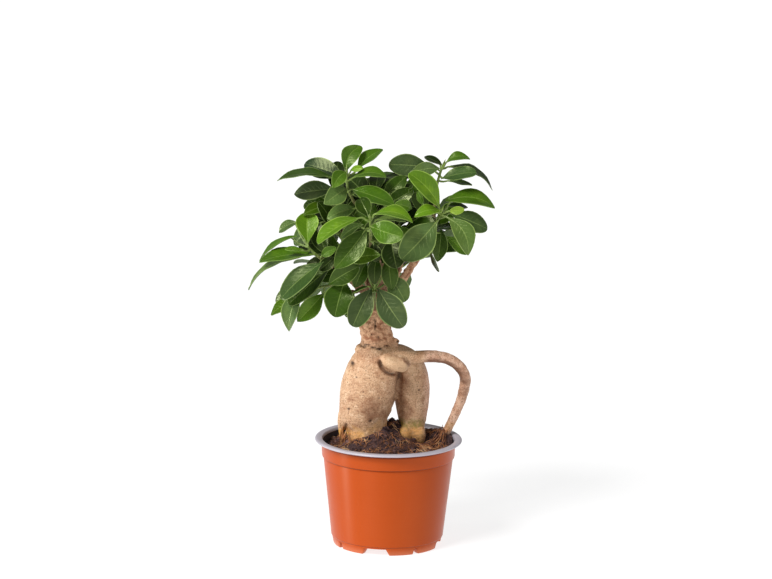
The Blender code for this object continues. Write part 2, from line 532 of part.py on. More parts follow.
class Blade:
    """One leaf: a point for each place (along, across), 0 to 1 along the blade, -1 to 0 on its stalk."""

    def __init__(self, foot, base, tip, width, normal, bow, fold, rows, places):
        self.foot, self.base, self.tip, self.width = foot, base, tip, width
        self.bow, self.fold, self.rows, self.places = bow, fold, rows, places
        self.axis = (tip - base).normalized()
        self.normal = (normal - self.axis * normal.dot(self.axis)).normalized()
        self.side = self.axis.cross(self.normal)
        along_stalk = (base - foot).normalized()
        self.from_side = (abs(along_stalk.dot(self.side)) > SIDEWAYS_STALK
                          or along_stalk.dot(self.axis) < DOUBLED_BACK)
        self.stalk_end = self.point(SIDE_STALK_REACH, 0.0) if self.from_side else base

    def point(self, along, across, lift=0.0):
        if along < 0:
            return self.base.lerp(self.foot, -along) + self.side * STALK_RADIUS * across + self.normal * lift
        half = max(self.width / 2 * blade_width(along), STALK_RADIUS) * across
        middle = self.base + (self.tip - self.base) * along + self.bow * 4 * along * (1 - along)
        rise = abs(half) * math.sin(self.fold) + lift
        return middle + self.side * half * math.cos(self.fold) + self.normal * rise

    def sheet(self, lift, first=1):
        """Points and triangles of the blade from a station on, raised by lift."""
        points, faces, rows = [], [], []
        for along in self.rows[first:]:
            row = []
            for across in ((0.0,) if along == 1.0 else (-1.0, 1.0) if along < 0 else self.places):
                row.append(len(points))
                points.append(self.point(along, across, lift))
            rows.append(row)
        for low, high in zip(rows, rows[1:]):
            steps = max(len(low), len(high)) - 1
            low = [low[i * (len(low) - 1) // steps] for i in range(steps + 1)]
            high = [high[i * (len(high) - 1) // steps] for i in range(steps + 1)]
            for i in range(steps):
                for corners in ((low[i], low[i + 1], high[i + 1]), (low[i], high[i + 1], high[i])):
                    if len(set(corners)) == 3:
                        faces.append(corners)
        return points, faces

    def slab(self, half):
        """The closed slab between the blade raised and lowered by half a thickness."""
        points, faces = self.sheet(half)
        count = len(points)
        edges = {(a, b) for face in faces for a, b in zip(face, face[1:] + face[:1])}
        rim = [(a, b) for a, b in sorted(edges) if (b, a) not in edges]
        walls = [(a, b, count + b) for a, b in rim] + [(a, count + b, count + a) for a, b in rim]
        under = [tuple(count + i for i in face) for face in faces]
        return points + self.sheet(-half)[0], faces + under + walls


def leaf_blade(route, base, tip, seen, side, bow, fold):
    """A blade from a leaf's places in the picture: its width and tilt follow the width that is seen."""
    start, end = as_pictured(*base), as_pictured(*tip)
    foot = stalk_foot(route, start)
    axis = (end - start).normalized()
    to_eye = (EYE * MM - start).normalized()
    to_eye = (to_eye - axis * to_eye.dot(axis)).normalized()
    beside = axis.cross(to_eye)
    wanted = {"U": Vector((0, 0, 1)), "L": Vector((-1, 0, 0)), "R": Vector((1, 0, 0))}[side]
    if beside.dot(wanted) < 0:
        beside = -beside
    fold, length = math.radians(fold), (end - start).length
    width = max(seen * MM / math.cos(fold), BLADE_RATIO * length)
    tilt = math.acos(min(1.0, seen * MM / (width * math.cos(fold))))
    normal = to_eye * math.cos(tilt) + beside * math.sin(tilt)
    bowed = beside * bow * MM + to_eye * ARCH_SHARE * length * math.cos(tilt)
    rows = FULL_ROWS if length > SHORT_LEAF else FEWER_ROWS
    return Blade(foot, start, end, width, normal, bowed, fold, rows, FULL_ACROSS)


def turned(blade, toward, turn):
    """The same blade with its tip moved to the viewer and turned about its own length."""
    to_eye = (EYE * MM - blade.base).normalized()
    base = blade.base + to_eye * toward * 0.5
    tip = blade.tip + to_eye * toward
    return Blade(blade.foot, base, tip, blade.width, Matrix.Rotation(turn, 3, blade.axis) @ blade.normal,
                 blade.bow, blade.fold, blade.rows, blade.places)


def strip(start, end, half):
    """Two crossed ribbons along a stalk, which stand for it when leaves are laid clear of each other."""
    axis = (end - start).normalized()
    across = axis.orthogonal().normalized()
    points, faces = [], []
    for side in (across, axis.cross(across)):
        first = len(points)
        points += [start - side * half, start + side * half, end + side * half, end - side * half]
        faces += [(first, first + 1, first + 2), (first, first + 2, first + 3)]
    return points, faces


class Crown:
    """What has been laid so far, so that the next leaf is bent clear of it."""

    def __init__(self, wood):
        self.laid = []
        self.wood = wood

    def add(self, sheet, owner):
        points, faces = sheet
        middle = sum(points, Vector()) / len(points)
        reach = max((point - middle).length for point in points)
        self.laid.append((middle, reach, BVHTree.FromPolygons(points, faces), owner))

    def clear(self, sheet, skip=None):
        points, faces = sheet
        middle = sum(points, Vector()) / len(points)
        reach = max((point - middle).length for point in points)
        tree = BVHTree.FromPolygons(points, faces)
        if tree.overlap(self.wood):
            return False
        for other_middle, other_reach, other, owner in self.laid:
            if owner != skip and (middle - other_middle).length < reach + other_reach:
                if tree.overlap(other):
                    return False
        return True

    def lay(self, blade, stem_name):
        """The first small move of the blade that leaves it clear of everything laid before, or None."""
        for step in range(0, 13):
            for sign in ((1,) if step == 0 else (1, -1)):
                for turn in (0, 10, -10, 20, -20, 32, -32):
                    tried = turned(blade, sign * step * 2.0 * MM, math.radians(turn))
                    stalk = strip(tried.foot, tried.stalk_end, STALK_RADIUS * 1.5)
                    if self.clear(tried.slab(BLADE_CLEAR)) and self.clear(stalk, stem_name):
                        self.add(tried.slab(BLADE_THICK / 2), "blade")
                        self.add(stalk, stem_name)
                        return tried
        return None


def route_point(route, distance):
    """The point at a distance along a stem."""
    for a, b in zip(route, route[1:]):
        span = (b - a).length
        if distance <= span:
            return a.lerp(b, distance / span)
        distance -= span
    return route[-1]


def route_length(route):
    return sum((b - a).length for a, b in zip(route, route[1:]))


def stalk_foot(route, place):
    """The point of a stem that a leaf's stalk grows from: the nearest, or a little lower down the stem."""
    samples = 60
    spots = [route_length(route) * i / samples for i in range(samples + 1)]
    best = min(spots, key=lambda spot: (route_point(route, spot) - place).length)
    return route_point(route, max(SEAT_RUN + STEM_RADIUS, best - STALK_SET_BACK))


def surface_tree(thing):
    """The triangles of a mesh object, ready for nearest-point and crossing tests."""
    mesh = thing.data
    return BVHTree.FromPolygons([v.co for v in mesh.vertices], [tuple(p.vertices) for p in mesh.polygons])


def stem_route(points, pictured, wood):
    """A stem's smooth route, its foot set square on the nearest wood with a small gap."""
    place = as_pictured if pictured else on_sight
    aimed = [place(*point) for point in points]
    seat, outward, _, _ = wood.find_nearest(aimed[0])
    foot = seat + outward * GAP
    return [foot] + smooth_route([foot + outward * SEAT_STRAIGHT] + aimed[1:], 2, leaving=outward)


def in_crown(point):
    """Whether a point shows inside the crown's outline from the eye."""
    depth = EYE.y * MM / (EYE.y * MM - point.y)
    x, z = point.x * depth / MM, (EYE.z * MM + (point.z - EYE.z * MM) * depth) / MM
    inside = False
    for (ax, az), (bx, bz) in zip(CROWN_OUTLINE, CROWN_OUTLINE[1:] + CROWN_OUTLINE[:1]):
        if (az > z) != (bz > z) and x < ax + (bx - ax) * (z - az) / (bz - az):
            inside = not inside
    return inside


def hidden_leaves(name, route, count, face):
    """Leaves set round a stem by the golden angle, each turned away from the picture's plane to stay in."""
    draw = random.Random(name)
    leaves = []
    for number in range(count):
        share = 0.22 + 0.78 * number / (count - 1)
        foot = route_point(route, share * (route_length(route) - 1.0 * MM))
        run = (route[-1] - route[0]).normalized()
        across = run.orthogonal().normalized()
        around = Matrix.Rotation(number * GOLDEN_ANGLE + draw.uniform(-0.3, 0.3), 3, run) @ across
        out = (around + run * (0.2 + 0.8 * share) + Vector((0, 0, -0.12))).normalized()
        length = draw.uniform(*HIDDEN_LEAF_LENGTH) * MM
        width = length * draw.uniform(0.47, 0.57)
        arch = draw.uniform(2, 4) * MM
        facing = (face + out * 0.25).normalized()
        for _ in range(7):
            base = foot + out * HIDDEN_STALK * MM
            tip = base + out * length
            if in_crown(tip) and tip.y > -HIDDEN_TOWARD * MM:
                break
            out = (out + AWAY * 0.3).normalized()
        else:
            continue
        leaves.append(Blade(foot, base, tip, width, facing, facing * arch, FOLD, FEWER_ROWS, INNER_ACROSS))
    return leaves


def lay_crown(wood):
    """Every shoot's stem route and its leaves (blade and foot of the stalk), laid clear of each other."""
    crown = Crown(wood)
    routes = {name: stem_route(shoot["stem"], True, wood) for name, shoot in SHOOTS.items()}
    routes.update({name: stem_route((first, last), False, wood)
                   for name, (first, last, _, _) in HIDDEN_SHOOTS.items()})
    for name, route in routes.items():
        for a, b in zip(route, route[1:]):
            crown.add(strip(a, b, STEM_RADIUS), name)
    laid = {}
    for name, shoot in SHOOTS.items():
        laid[name] = []
        for leaf in shoot["leaves"]:
            placed = crown.lay(leaf_blade(routes[name], leaf[0:3], leaf[3:6], *leaf[6:10]), name)
            if placed:
                laid[name].append(placed)
            else:
                print("no room:", name, leaf)
    for name, (_, _, count, face) in HIDDEN_SHOOTS.items():
        laid[name] = []
        for blade in hidden_leaves(name, routes[name], count, face):
            placed = crown.lay(blade, name)
            if placed:
                laid[name].append(placed)
    return routes, laid


def leaf_solid(name, blade, home):
    """A leaf as a closed solid of even thickness, both faces split into triangles alike.

    The stalk is a ribbon drawn out of the blade, or a bar of its own where it comes in from the side.
    """
    if blade.from_side:
        tube(name + "_stalk", [blade.foot, blade.stalk_end], [STALK_RADIUS] * 2, 4, home)
    points, faces = blade.sheet(0.0, first=1 if blade.from_side else 0)
    mesh = bpy.data.meshes.new(name)
    mesh.from_pydata(points, [], faces)
    sheet = new_object(name + "_sheet", mesh, home)
    wall = sheet.modifiers.new("thickness", "SOLIDIFY")
    wall.thickness = BLADE_THICK
    wall.offset = 0.0
    return made_solid(sheet, name, home)


def make_shoot(name, route, leaves, green, home):
    """A stem with its stalks and blades, fused into one solid."""
    parts = collection(name + " leaves")
    taper = (STEM_RADIUS - STEM_TIP_RADIUS) / (len(route) - 1)
    radii = [STEM_RADIUS - taper * i for i in range(len(route))]
    shoot = tube(name, route, radii, 6, home)
    for number, blade in enumerate(leaves):
        leaf_solid(f"{name}_leaf_{number}", blade, parts)
    add_boolean(shoot, "UNION", group=parts)
    fused = evaluated_mesh(shoot, weld=False)
    shoot.modifiers.clear()
    shoot.data = fused
    for part in list(parts.objects):
        bpy.data.objects.remove(part)
    bpy.data.collections.remove(parts)
    shoot.data.materials.append(material(name + " green", GREENS[green], 0.4))
    return shoot


def main():
    for old in list(bpy.data.objects):
        bpy.data.objects.remove(old)
    plant = collection("ginseng ficus")
    cutters = collection("cutters")
    scratch = collection("scratch")
    root = make_root(plant, scratch)
    routes, laid = lay_crown(surface_tree(root))
    for name, leaves in laid.items():
        green = "back" if name in HIDDEN_SHOOTS else "top" if "top" in name else "front"
        made = make_shoot(name, routes[name], leaves, green, plant)
        print(name, len(leaves), "leaves,", len(made.data.polygons), "faces")
    bpy.data.collections.remove(scratch)
    make_pot(plant, cutters)
    make_soil(plant, root, cutters)


main()
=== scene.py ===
# %% [markdown]
# # A ginseng ficus in its nursery pot
#
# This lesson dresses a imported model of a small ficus: a swollen root that stands on two legs, with one
# arching side root, a crown of oval leaves, peat soil and a terracotta-coloured plastic pot. The packed
# solids give every size and place. Each cell then models one real piece more finely, and says why it is
# made that way. Places are in millimetres and are turned into metres by MM.

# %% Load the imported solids
import json
import math
import random

import bpy
from mathutils import Matrix, Vector, geometry, noise
from mathutils.bvhtree import BVHTree


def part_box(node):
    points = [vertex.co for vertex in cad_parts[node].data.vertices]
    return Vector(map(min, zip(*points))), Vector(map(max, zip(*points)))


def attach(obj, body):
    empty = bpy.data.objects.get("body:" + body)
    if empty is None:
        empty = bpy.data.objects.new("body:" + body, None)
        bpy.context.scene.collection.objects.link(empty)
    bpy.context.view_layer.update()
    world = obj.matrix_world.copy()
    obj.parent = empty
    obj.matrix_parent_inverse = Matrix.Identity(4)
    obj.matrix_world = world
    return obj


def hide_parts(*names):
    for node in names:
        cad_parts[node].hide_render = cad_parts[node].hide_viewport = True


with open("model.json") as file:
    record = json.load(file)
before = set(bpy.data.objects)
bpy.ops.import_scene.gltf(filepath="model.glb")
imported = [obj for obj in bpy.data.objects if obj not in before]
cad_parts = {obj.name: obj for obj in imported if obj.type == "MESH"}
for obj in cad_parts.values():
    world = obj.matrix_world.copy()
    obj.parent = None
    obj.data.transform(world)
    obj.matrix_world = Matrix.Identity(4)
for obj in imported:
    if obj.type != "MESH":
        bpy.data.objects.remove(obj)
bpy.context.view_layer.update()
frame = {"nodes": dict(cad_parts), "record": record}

MM = 0.001
MERGE = 0.00002                    # points nearer than this are one point, metres

# %% [markdown]
# ## Working by hand, in code
#
# An operator acts on whatever is selected, so every step starts by selecting one piece alone. In edit
# mode the points to work on are chosen by their place. A finished piece rides on the root body and
# stands for its plain solid.

# %% Selecting and finishing
def only(piece):
    """Selects one object alone, makes it active and goes back to object mode."""
    if bpy.context.mode != "OBJECT":
        bpy.ops.object.mode_set(mode="OBJECT")
    bpy.ops.object.select_all(action="DESELECT")
    piece.select_set(True)
    bpy.context.view_layer.objects.active = piece
    return piece


def choose(piece, test, kind="VERT"):
    """Opens a piece in edit mode with only those points or faces selected whose place passes the test."""
    only(piece)
    bpy.ops.object.mode_set(mode="EDIT")
    bpy.ops.mesh.select_mode(type=kind)
    bpy.ops.mesh.select_all(action="DESELECT")
    bpy.ops.object.mode_set(mode="OBJECT")
    if kind == "VERT":
        for vert in piece.data.vertices:
            vert.select = test(vert.co)
    else:
        for face in piece.data.polygons:
            face.select = test(face.center)
    bpy.ops.object.mode_set(mode="EDIT")


def apply_modifier(piece, kind, **settings):
    """Adds a modifier with its settings and applies it."""
    only(piece)
    added = piece.modifiers.new(kind.lower(), kind)
    for key, value in settings.items():
        setattr(added, key, value)
    bpy.ops.object.modifier_apply(modifier=added.name)


def joined(name, pieces):
    """Joins several objects into the first one and names it."""
    only(pieces[0])
    for piece in pieces:
        piece.select_set(True)
    bpy.ops.object.join()
    pieces[0].name = name
    return pieces[0]


def finished(piece, slot, *solids):
    """Lets a piece ride on the plant and stand for its plain solids; slot is not used."""
    only(piece)
    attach(piece, "root")
    if solids:
        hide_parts(*solids)
    print(piece.name, len(piece.data.polygons), "faces")


def smooth(value, low, high):
    """0 below low, 1 above high, and a soft step between; low may be the larger."""
    share = min(1.0, max(0.0, (value - low) / (high - low)))
    return share * share * (3 - 2 * share)


def paint(piece, name, colour_at):
    """Stores a colour for every point, worked out from its place in millimetres and its normal."""
    layer = piece.data.attributes.new(name, "FLOAT_COLOR", "POINT")
    normals = piece.data.vertex_normals
    for vert in piece.data.vertices:
        layer.data[vert.index].color = (*colour_at(vert.co / MM, normals[vert.index].vector), 1.0)

# %% [markdown]
# ## The camera
#
# The picture was taken from nearly three metres away, so the far side of the rim is hardly smaller than
# the near side. How round the rim looks gives the angle of view, 11.6 degrees down. The plant leans a
# little in the picture, which a small roll of the camera follows.

# %% Camera
EYE = Vector((-0.00397, -2.8, 0.7861))
LOOK_DOWN = math.radians(11.605)
PICTURE_TURN = math.radians(0.9)
PICTURE_WIDTH = 772                # pixels
FOCAL_PIXELS = 3532.4              # how far the picture plane is from the eye, in picture pixels
SENSOR_WIDTH = 36.0

bpy.ops.object.camera_add()
camera = bpy.context.active_object
camera.name = "photo_camera"
camera.matrix_world = (Matrix.Translation(EYE) @ Matrix.Rotation(math.pi / 2 - LOOK_DOWN, 4, "X")
                       @ Matrix.Rotation(PICTURE_TURN, 4, "Z"))
camera.data.sensor_width = SENSOR_WIDTH
camera.data.lens = FOCAL_PIXELS / PICTURE_WIDTH * SENSOR_WIDTH
bpy.context.scene.camera = camera
print("lens", round(camera.data.lens, 1), "mm")

# %% [markdown]
# ## Node trees without clutter
#
# A procedural finish is a small network of nodes. This helper class adds nodes by their type, wires
# sockets by name and offers the few steps that all the finishes share: noise, a soft step, a mix of two
# colours and a bump. Numbers that are the same all over a surface are set on the shader's own sockets.

# %% Finishes
class Finish:
    """A Principled material with short ways to add and wire its nodes."""

    def __init__(self, name, **fixed):
        self.material = bpy.data.materials.new(name)
        self.material.use_nodes = True
        self.tree = self.material.node_tree
        self.shader = self.tree.nodes["Principled BSDF"]
        for socket, value in fixed.items():
            self.shader.inputs[socket.replace("_", " ")].default_value = value
        self.place = self.node("ShaderNodeTexCoord").outputs["Object"]

    def node(self, kind, inputs=None, **settings):
        """A node with its settings, and its inputs wired to sockets or set to values."""
        made = self.tree.nodes.new(kind)
        for key, value in settings.items():
            setattr(made, key, value)
        for key, value in (inputs or {}).items():
            if isinstance(value, bpy.types.NodeSocket):
                self.tree.links.new(value, made.inputs[key])
            else:
                made.inputs[key].default_value = value
        return made

    def stretched(self, scale):
        """The place on the object, stretched by a scale along each axis."""
        return self.node("ShaderNodeMapping", {"Vector": self.place, "Scale": scale}).outputs["Vector"]

    def noise(self, scale, detail=3.0, roughness=0.55, place=None):
        inputs = {"Vector": place or self.place, "Scale": scale, "Detail": detail, "Roughness": roughness}
        return self.node("ShaderNodeTexNoise", inputs).outputs["Fac"]

    def step(self, value, low, high, out_low=0.0, out_high=1.0):
        """A soft step of a value, from out_low at low to out_high at high."""
        inputs = {"Value": value, "From Min": low, "From Max": high, "To Min": out_low, "To Max": out_high}
        return self.node("ShaderNodeMapRange", inputs, interpolation_type="SMOOTHSTEP").outputs["Result"]

    def maths(self, operation, a, b=0.0):
        return self.node("ShaderNodeMath", {0: a, 1: b}, operation=operation).outputs[0]

    def mix(self, share, a, b, how="MIX"):
        """Two colours mixed by a share; each is a socket or three numbers."""
        made = self.node("ShaderNodeMix", {0: share}, data_type="RGBA", blend_type=how)
        for socket, value in ((made.inputs[6], a), (made.inputs[7], b)):
            if isinstance(value, bpy.types.NodeSocket):
                self.tree.links.new(value, socket)
            else:
                socket.default_value = (*value, 1.0)
        return made.outputs[2]

    def attribute(self, name, part="Color"):
        return self.node("ShaderNodeAttribute", attribute_name=name).outputs[part]

    def split(self, colour):
        return self.node("ShaderNodeSeparateColor", {0: colour}).outputs

    def wire(self, socket, value):
        self.tree.links.new(value, self.shader.inputs[socket])

    def bump(self, height, depth):
        """Bump from a height between 0 and 1, whose full range is depth metres."""
        self.wire("Normal", self.node("ShaderNodeBump", {"Height": height, "Distance": depth,
                                                         "Strength": 1.0}).outputs["Normal"])

# %% [markdown]
# ## Floor and light
#
# The plant stands on a plain pale floor in soft studio light. A broad sun from the front left is the
# main light, because it reaches all of the floor alike. The floor glows a little, as a white sweep with
# its own lamps does, so it stays white and its shadows stay faint. The sky is dim, which keeps the
# leaves' greens deep. A low lamp at the left gives the pot its upright highlight, and a broad weak
# one at the right keeps the far sides from going black.

# %% Floor and light
FLOOR_SIZE = 60.0
SKY_STRENGTH = 0.22
FLOOR_GLOW = 0.82
SUN_STRENGTH, SUN_SPREAD = 2.5, math.radians(20)
SUN_FROM = Vector((-0.75, -0.9, 1.35))
PLANT_MIDDLE = Vector((0.0, 0.0, 0.17))
AREA_LAMPS = [                     # name, place, power in watts, size
    ("side_lamp", (-1.7, -0.3, 0.22), 11.0, 0.30), ("fill_lamp", (1.3, -1.3, 0.50), 2.2, 1.0)]

bpy.ops.object.select_all(action="DESELECT")
bpy.ops.mesh.primitive_plane_add(size=FLOOR_SIZE)
floor = bpy.context.active_object
floor.name = "floor"
floor_finish = Finish("white paper", Roughness=0.9, Specular_IOR_Level=0.1, Emission_Strength=FLOOR_GLOW,
                      Emission_Color=(1.0, 1.0, 1.0, 1.0))
paper = floor_finish.mix(floor_finish.noise(3.0), (0.29, 0.29, 0.29), (0.33, 0.33, 0.33))
floor_finish.wire("Base Color", paper)
floor.data.materials.append(floor_finish.material)


def aimed_lamp(name, kind, place, power):
    """A lamp at a place, turned to the plant."""
    bpy.ops.object.light_add(type=kind, location=place)
    made = bpy.context.active_object
    made.name = name
    made.rotation_euler = (PLANT_MIDDLE - Vector(place)).to_track_quat("-Z", "Y").to_euler()
    made.data.energy = power
    return made.data


aimed_lamp("soft_sun", "SUN", SUN_FROM, SUN_STRENGTH).angle = SUN_SPREAD
for name, place, power, size in AREA_LAMPS:
    aimed_lamp(name, "AREA", place, power).size = size
sky = bpy.context.scene.world or bpy.data.worlds.new("sky")
bpy.context.scene.world = sky
sky.use_nodes = True
sky.node_tree.nodes["Background"].inputs["Color"].default_value = (1.0, 1.0, 1.0, 1.0)
sky.node_tree.nodes["Background"].inputs["Strength"].default_value = SKY_STRENGTH
bpy.context.scene.view_settings.view_transform = "Standard"
print("floor", FLOOR_SIZE, "m and", 1 + len(AREA_LAMPS), "lamps")

# %% [markdown]
# ## The pot
#
# A nursery pot is pressed from one thin warm sheet: terracotta on the outside, dark on the inside, with
# a pale rolled lip. It is a turned shape, so a circle is added at its first station and extruded ring by
# ring, each ring moved up and resized, as a potter would draw up a wall.

# %% Turned pieces
def lathe(name, stations, steps):
    """A turned closed piece through (radius, height) stations in millimetres, a pole at both ends."""
    radius, height = stations[0]
    bpy.ops.object.select_all(action="DESELECT")
    bpy.ops.mesh.primitive_circle_add(vertices=steps, radius=radius * MM)
    piece = bpy.context.active_object
    piece.name = name
    bpy.ops.object.mode_set(mode="EDIT")
    bpy.ops.mesh.select_all(action="SELECT")
    bpy.ops.transform.translate(value=(0, 0, height * MM))
    bpy.ops.mesh.extrude_region_move()
    bpy.ops.mesh.merge(type="CENTER")
    choose(piece, lambda place: math.hypot(place.x, place.y) > radius * MM / 2)
    for next_radius, next_height in stations[1:]:
        up = (0, 0, (next_height - height) * MM)
        bpy.ops.mesh.extrude_region_move(TRANSFORM_OT_translate={"value": up})
        ratio = next_radius / radius
        bpy.ops.transform.resize(value=(ratio, ratio, 1.0), center_override=(0, 0, next_height * MM))
        radius, height = next_radius, next_height
    bpy.ops.mesh.extrude_region_move()
    bpy.ops.mesh.merge(type="CENTER")
    bpy.ops.mesh.select_all(action="SELECT")
    bpy.ops.mesh.remove_doubles(threshold=MERGE)
    bpy.ops.mesh.normals_make_consistent(inside=False)
    bpy.ops.object.mode_set(mode="OBJECT")
    return piece

# %% [markdown]
# The stations follow the solid's own wall and add what a pressed pot has: a rounded lip, the small
# ledge under it, and the creases above the feet and under the collar.

# %% Pot shape
POT_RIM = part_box("pot")[1].x / MM
POT_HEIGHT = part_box("pot")[1].z / MM
POT_WALL = 1.1
POT_FOOT_HEIGHT = 6.5
FOOT_RADIUS, BASE_RADIUS = 44.6, 45.8
SHOULDER_RADIUS, COLLAR_RADIUS, COLLAR_BOTTOM = 52.9, 54.6, 72.5
PAD_RADIUS = 11.0
POT_STEPS = 240
INNER_COLLAR = COLLAR_RADIUS - POT_WALL

INSIDE_STATIONS = [
    (4.0, POT_FOOT_HEIGHT + POT_WALL), (30.0, POT_FOOT_HEIGHT + POT_WALL),
    (BASE_RADIUS - POT_WALL - 2.5, POT_FOOT_HEIGHT + POT_WALL),
    (BASE_RADIUS - POT_WALL - 0.7, POT_FOOT_HEIGHT + POT_WALL + 0.6),
    (BASE_RADIUS - POT_WALL, POT_FOOT_HEIGHT + POT_WALL + 2.4),
    (SHOULDER_RADIUS - POT_WALL, COLLAR_BOTTOM - 1.2), (INNER_COLLAR - 0.5, COLLAR_BOTTOM + 0.4),
    (INNER_COLLAR, COLLAR_BOTTOM + 2.0), (INNER_COLLAR, POT_HEIGHT - 2.6)]
LIP_STATIONS = [
    (INNER_COLLAR + 0.25, POT_HEIGHT - 1.3), (INNER_COLLAR + 0.9, POT_HEIGHT - 0.4),
    (COLLAR_RADIUS + 0.9, POT_HEIGHT), (POT_RIM - 1.9, POT_HEIGHT), (POT_RIM - 1.0, POT_HEIGHT - 0.2),
    (POT_RIM - 0.3, POT_HEIGHT - 0.6), (POT_RIM, POT_HEIGHT - 1.1), (POT_RIM - 0.1, POT_HEIGHT - 1.7),
    (POT_RIM - 0.6, POT_HEIGHT - 2.1), (POT_RIM - 1.5, POT_HEIGHT - 2.1), (POT_RIM - 2.1, POT_HEIGHT - 1.9)]
OUTSIDE_STATIONS = [
    (COLLAR_RADIUS + 1.2, POT_HEIGHT - 2.3), (COLLAR_RADIUS + 0.3, POT_HEIGHT - 3.2),
    (COLLAR_RADIUS, POT_HEIGHT - 5.2), (COLLAR_RADIUS - 0.3, COLLAR_BOTTOM + 1.6),
    (COLLAR_RADIUS - 0.55, COLLAR_BOTTOM + 0.7), (SHOULDER_RADIUS + 0.2, COLLAR_BOTTOM + 0.2),
    (SHOULDER_RADIUS - 0.2, COLLAR_BOTTOM - 0.3), (SHOULDER_RADIUS - 0.05, COLLAR_BOTTOM - 1.4),
    (BASE_RADIUS, POT_FOOT_HEIGHT + 0.9), (BASE_RADIUS - 0.45, POT_FOOT_HEIGHT + 0.35),
    (FOOT_RADIUS + 0.45, POT_FOOT_HEIGHT), (FOOT_RADIUS + 0.35, POT_FOOT_HEIGHT - 1.0),
    (FOOT_RADIUS - 0.5, 0.7), (FOOT_RADIUS - 0.9, 0.15), (FOOT_RADIUS - 1.5, 0.0),
    (FOOT_RADIUS - 5.9, 0.0), (FOOT_RADIUS - 6.6, 0.5), (FOOT_RADIUS - 7.5, POT_FOOT_HEIGHT),
    (PAD_RADIUS + 1.0, POT_FOOT_HEIGHT), (PAD_RADIUS, 0.0), (4.0, 0.0)]

pot = lathe("nursery_pot", INSIDE_STATIONS + LIP_STATIONS + OUTSIDE_STATIONS, POT_STEPS)
print("pot", len(pot.data.vertices), "points")

# %% [markdown]
# The foot ring is opened between the feet by lifting its lowest points, in three steps, which slopes the
# sides of each gap. The gaps are chosen by their turn round the pot. Lifting points keeps the wall one
# clean piece, where cutting it with a second solid would leave ragged edges.

# %% Gaps between the feet
FOOT_GAP_ANGLE = 257.5             # degrees, middle of the first wide gap; 270 is the front
GAP_LIFTS = [(14.3, 1.6), (12.7, 1.9), (11.2, 2.1)]    # half width in degrees and lift in millimetres
NOTCH_LIFTS = [(2.9, 2.6), (1.4, 3.0)]
FOOT_LOW = 5.0


def between_feet(place, half, notch):
    """Whether a low point of the foot ring lies in a wide gap, or in a small notch."""
    if place.z > FOOT_LOW * MM or math.hypot(place.x, place.y) < (PAD_RADIUS + 6) * MM:
        return False
    turn = math.degrees(math.atan2(place.y, place.x)) - FOOT_GAP_ANGLE - (45 if notch else 0)
    return abs((turn + 45) % 90 - 45) < half


for notch, lifts in ((False, GAP_LIFTS), (True, NOTCH_LIFTS)):
    for half, lift in lifts:
        choose(pot, lambda place: between_feet(place, half, notch))
        bpy.ops.transform.translate(value=(0, 0, lift * MM))
only(pot)
bpy.ops.object.shade_smooth_by_angle(angle=math.radians(32))
print("foot gaps", sum(1 for vert in pot.data.vertices if 4 * MM < vert.co.z < 6 * MM), "points lifted")

# %% [markdown]
# The sheet is coloured right through on each side, so the outside, the lip and the inside are three
# finishes given to faces by their place. Orange pressed plastic is satin, with faint level rings where
# the sheet was drawn down, and a few pale upright scuffs. Such rings pull a highlight out into one
# upright streak, which the shader's anisotropic setting does without modelling them. Painted shade
# darkens the creases under the lip, under the collar and above the feet, and a painted highlight makes
# the feet paler towards the floor.

# %% Pot finishes
# Painted shade in the creases under the lip, under the collar and above the feet
POT_CREASE_SHADE = [(POT_HEIGHT - 3.4, 2.2, 0.95), (COLLAR_BOTTOM + 0.3, 0.7, 0.95),
                (POT_FOOT_HEIGHT + 0.4, 0.5, 0.55)]     # height, half width, strength


def pot_plastic():
    made = Finish("terracotta plastic", Specular_IOR_Level=0.32, Specular_Tint=(1.0, 0.8, 0.6, 1.0),
                  Anisotropic=0.85, Anisotropic_Rotation=0.25)
    broad = made.noise(14.0, 2.0)
    rings = made.noise(1.0, 2.0, place=made.stretched((3.0, 3.0, 420.0)))
    streaks = made.noise(1.0, 4.0, 0.7, made.stretched((260, 260, 40)))
    scuffs = made.step(streaks, 0.62, 0.8)
    colour = made.mix(broad, (0.44, 0.060, 0.004), (0.50, 0.073, 0.006))
    colour = made.mix(made.step(rings, 0.35, 0.65, 0.0, 0.07), colour, (0.42, 0.044, 0.005))
    colour = made.mix(made.maths("MULTIPLY", scuffs, 0.10), colour, (0.76, 0.22, 0.08))
    up = made.node("ShaderNodeSeparateXYZ", {0: made.place}).outputs["Z"]
    # Painted highlight: the feet grow paler towards the floor
    colour = made.mix(made.step(up, POT_FOOT_HEIGHT * MM, 0.0, 0.0, 0.45), colour, (0.80, 0.26, 0.13))
    # Painted shade darkens each crease line
    for height, half, strength in POT_CREASE_SHADE:
        away = made.maths("ABSOLUTE", made.maths("SUBTRACT", up, height * MM))
        colour = made.mix(made.step(away, 0.0, half * MM, strength, 0.0), colour, (0.12, 0.012, 0.002))
    made.wire("Base Color", colour)
    made.wire("Roughness", made.step(made.noise(40.0), 0.3, 0.7, 0.32, 0.38))
    made.bump(made.maths("ADD", rings, made.noise(600.0)), 0.000025)
    return made.material


def lip_plastic():
    made = Finish("pale grey lip", Roughness=0.35, Specular_IOR_Level=0.5)
    made.wire("Base Color", made.mix(made.noise(60.0, 4.0), (0.45, 0.42, 0.47), (0.58, 0.54, 0.60)))
    made.bump(made.noise(500.0), 0.00003)
    return made.material


def inner_plastic():
    made = Finish("dark inside", Roughness=0.5, Specular_IOR_Level=0.4)
    made.wire("Base Color", made.mix(made.noise(50.0, 4.0), (0.022, 0.021, 0.03), (0.05, 0.045, 0.055)))
    made.bump(made.noise(300.0), 0.00004)
    return made.material


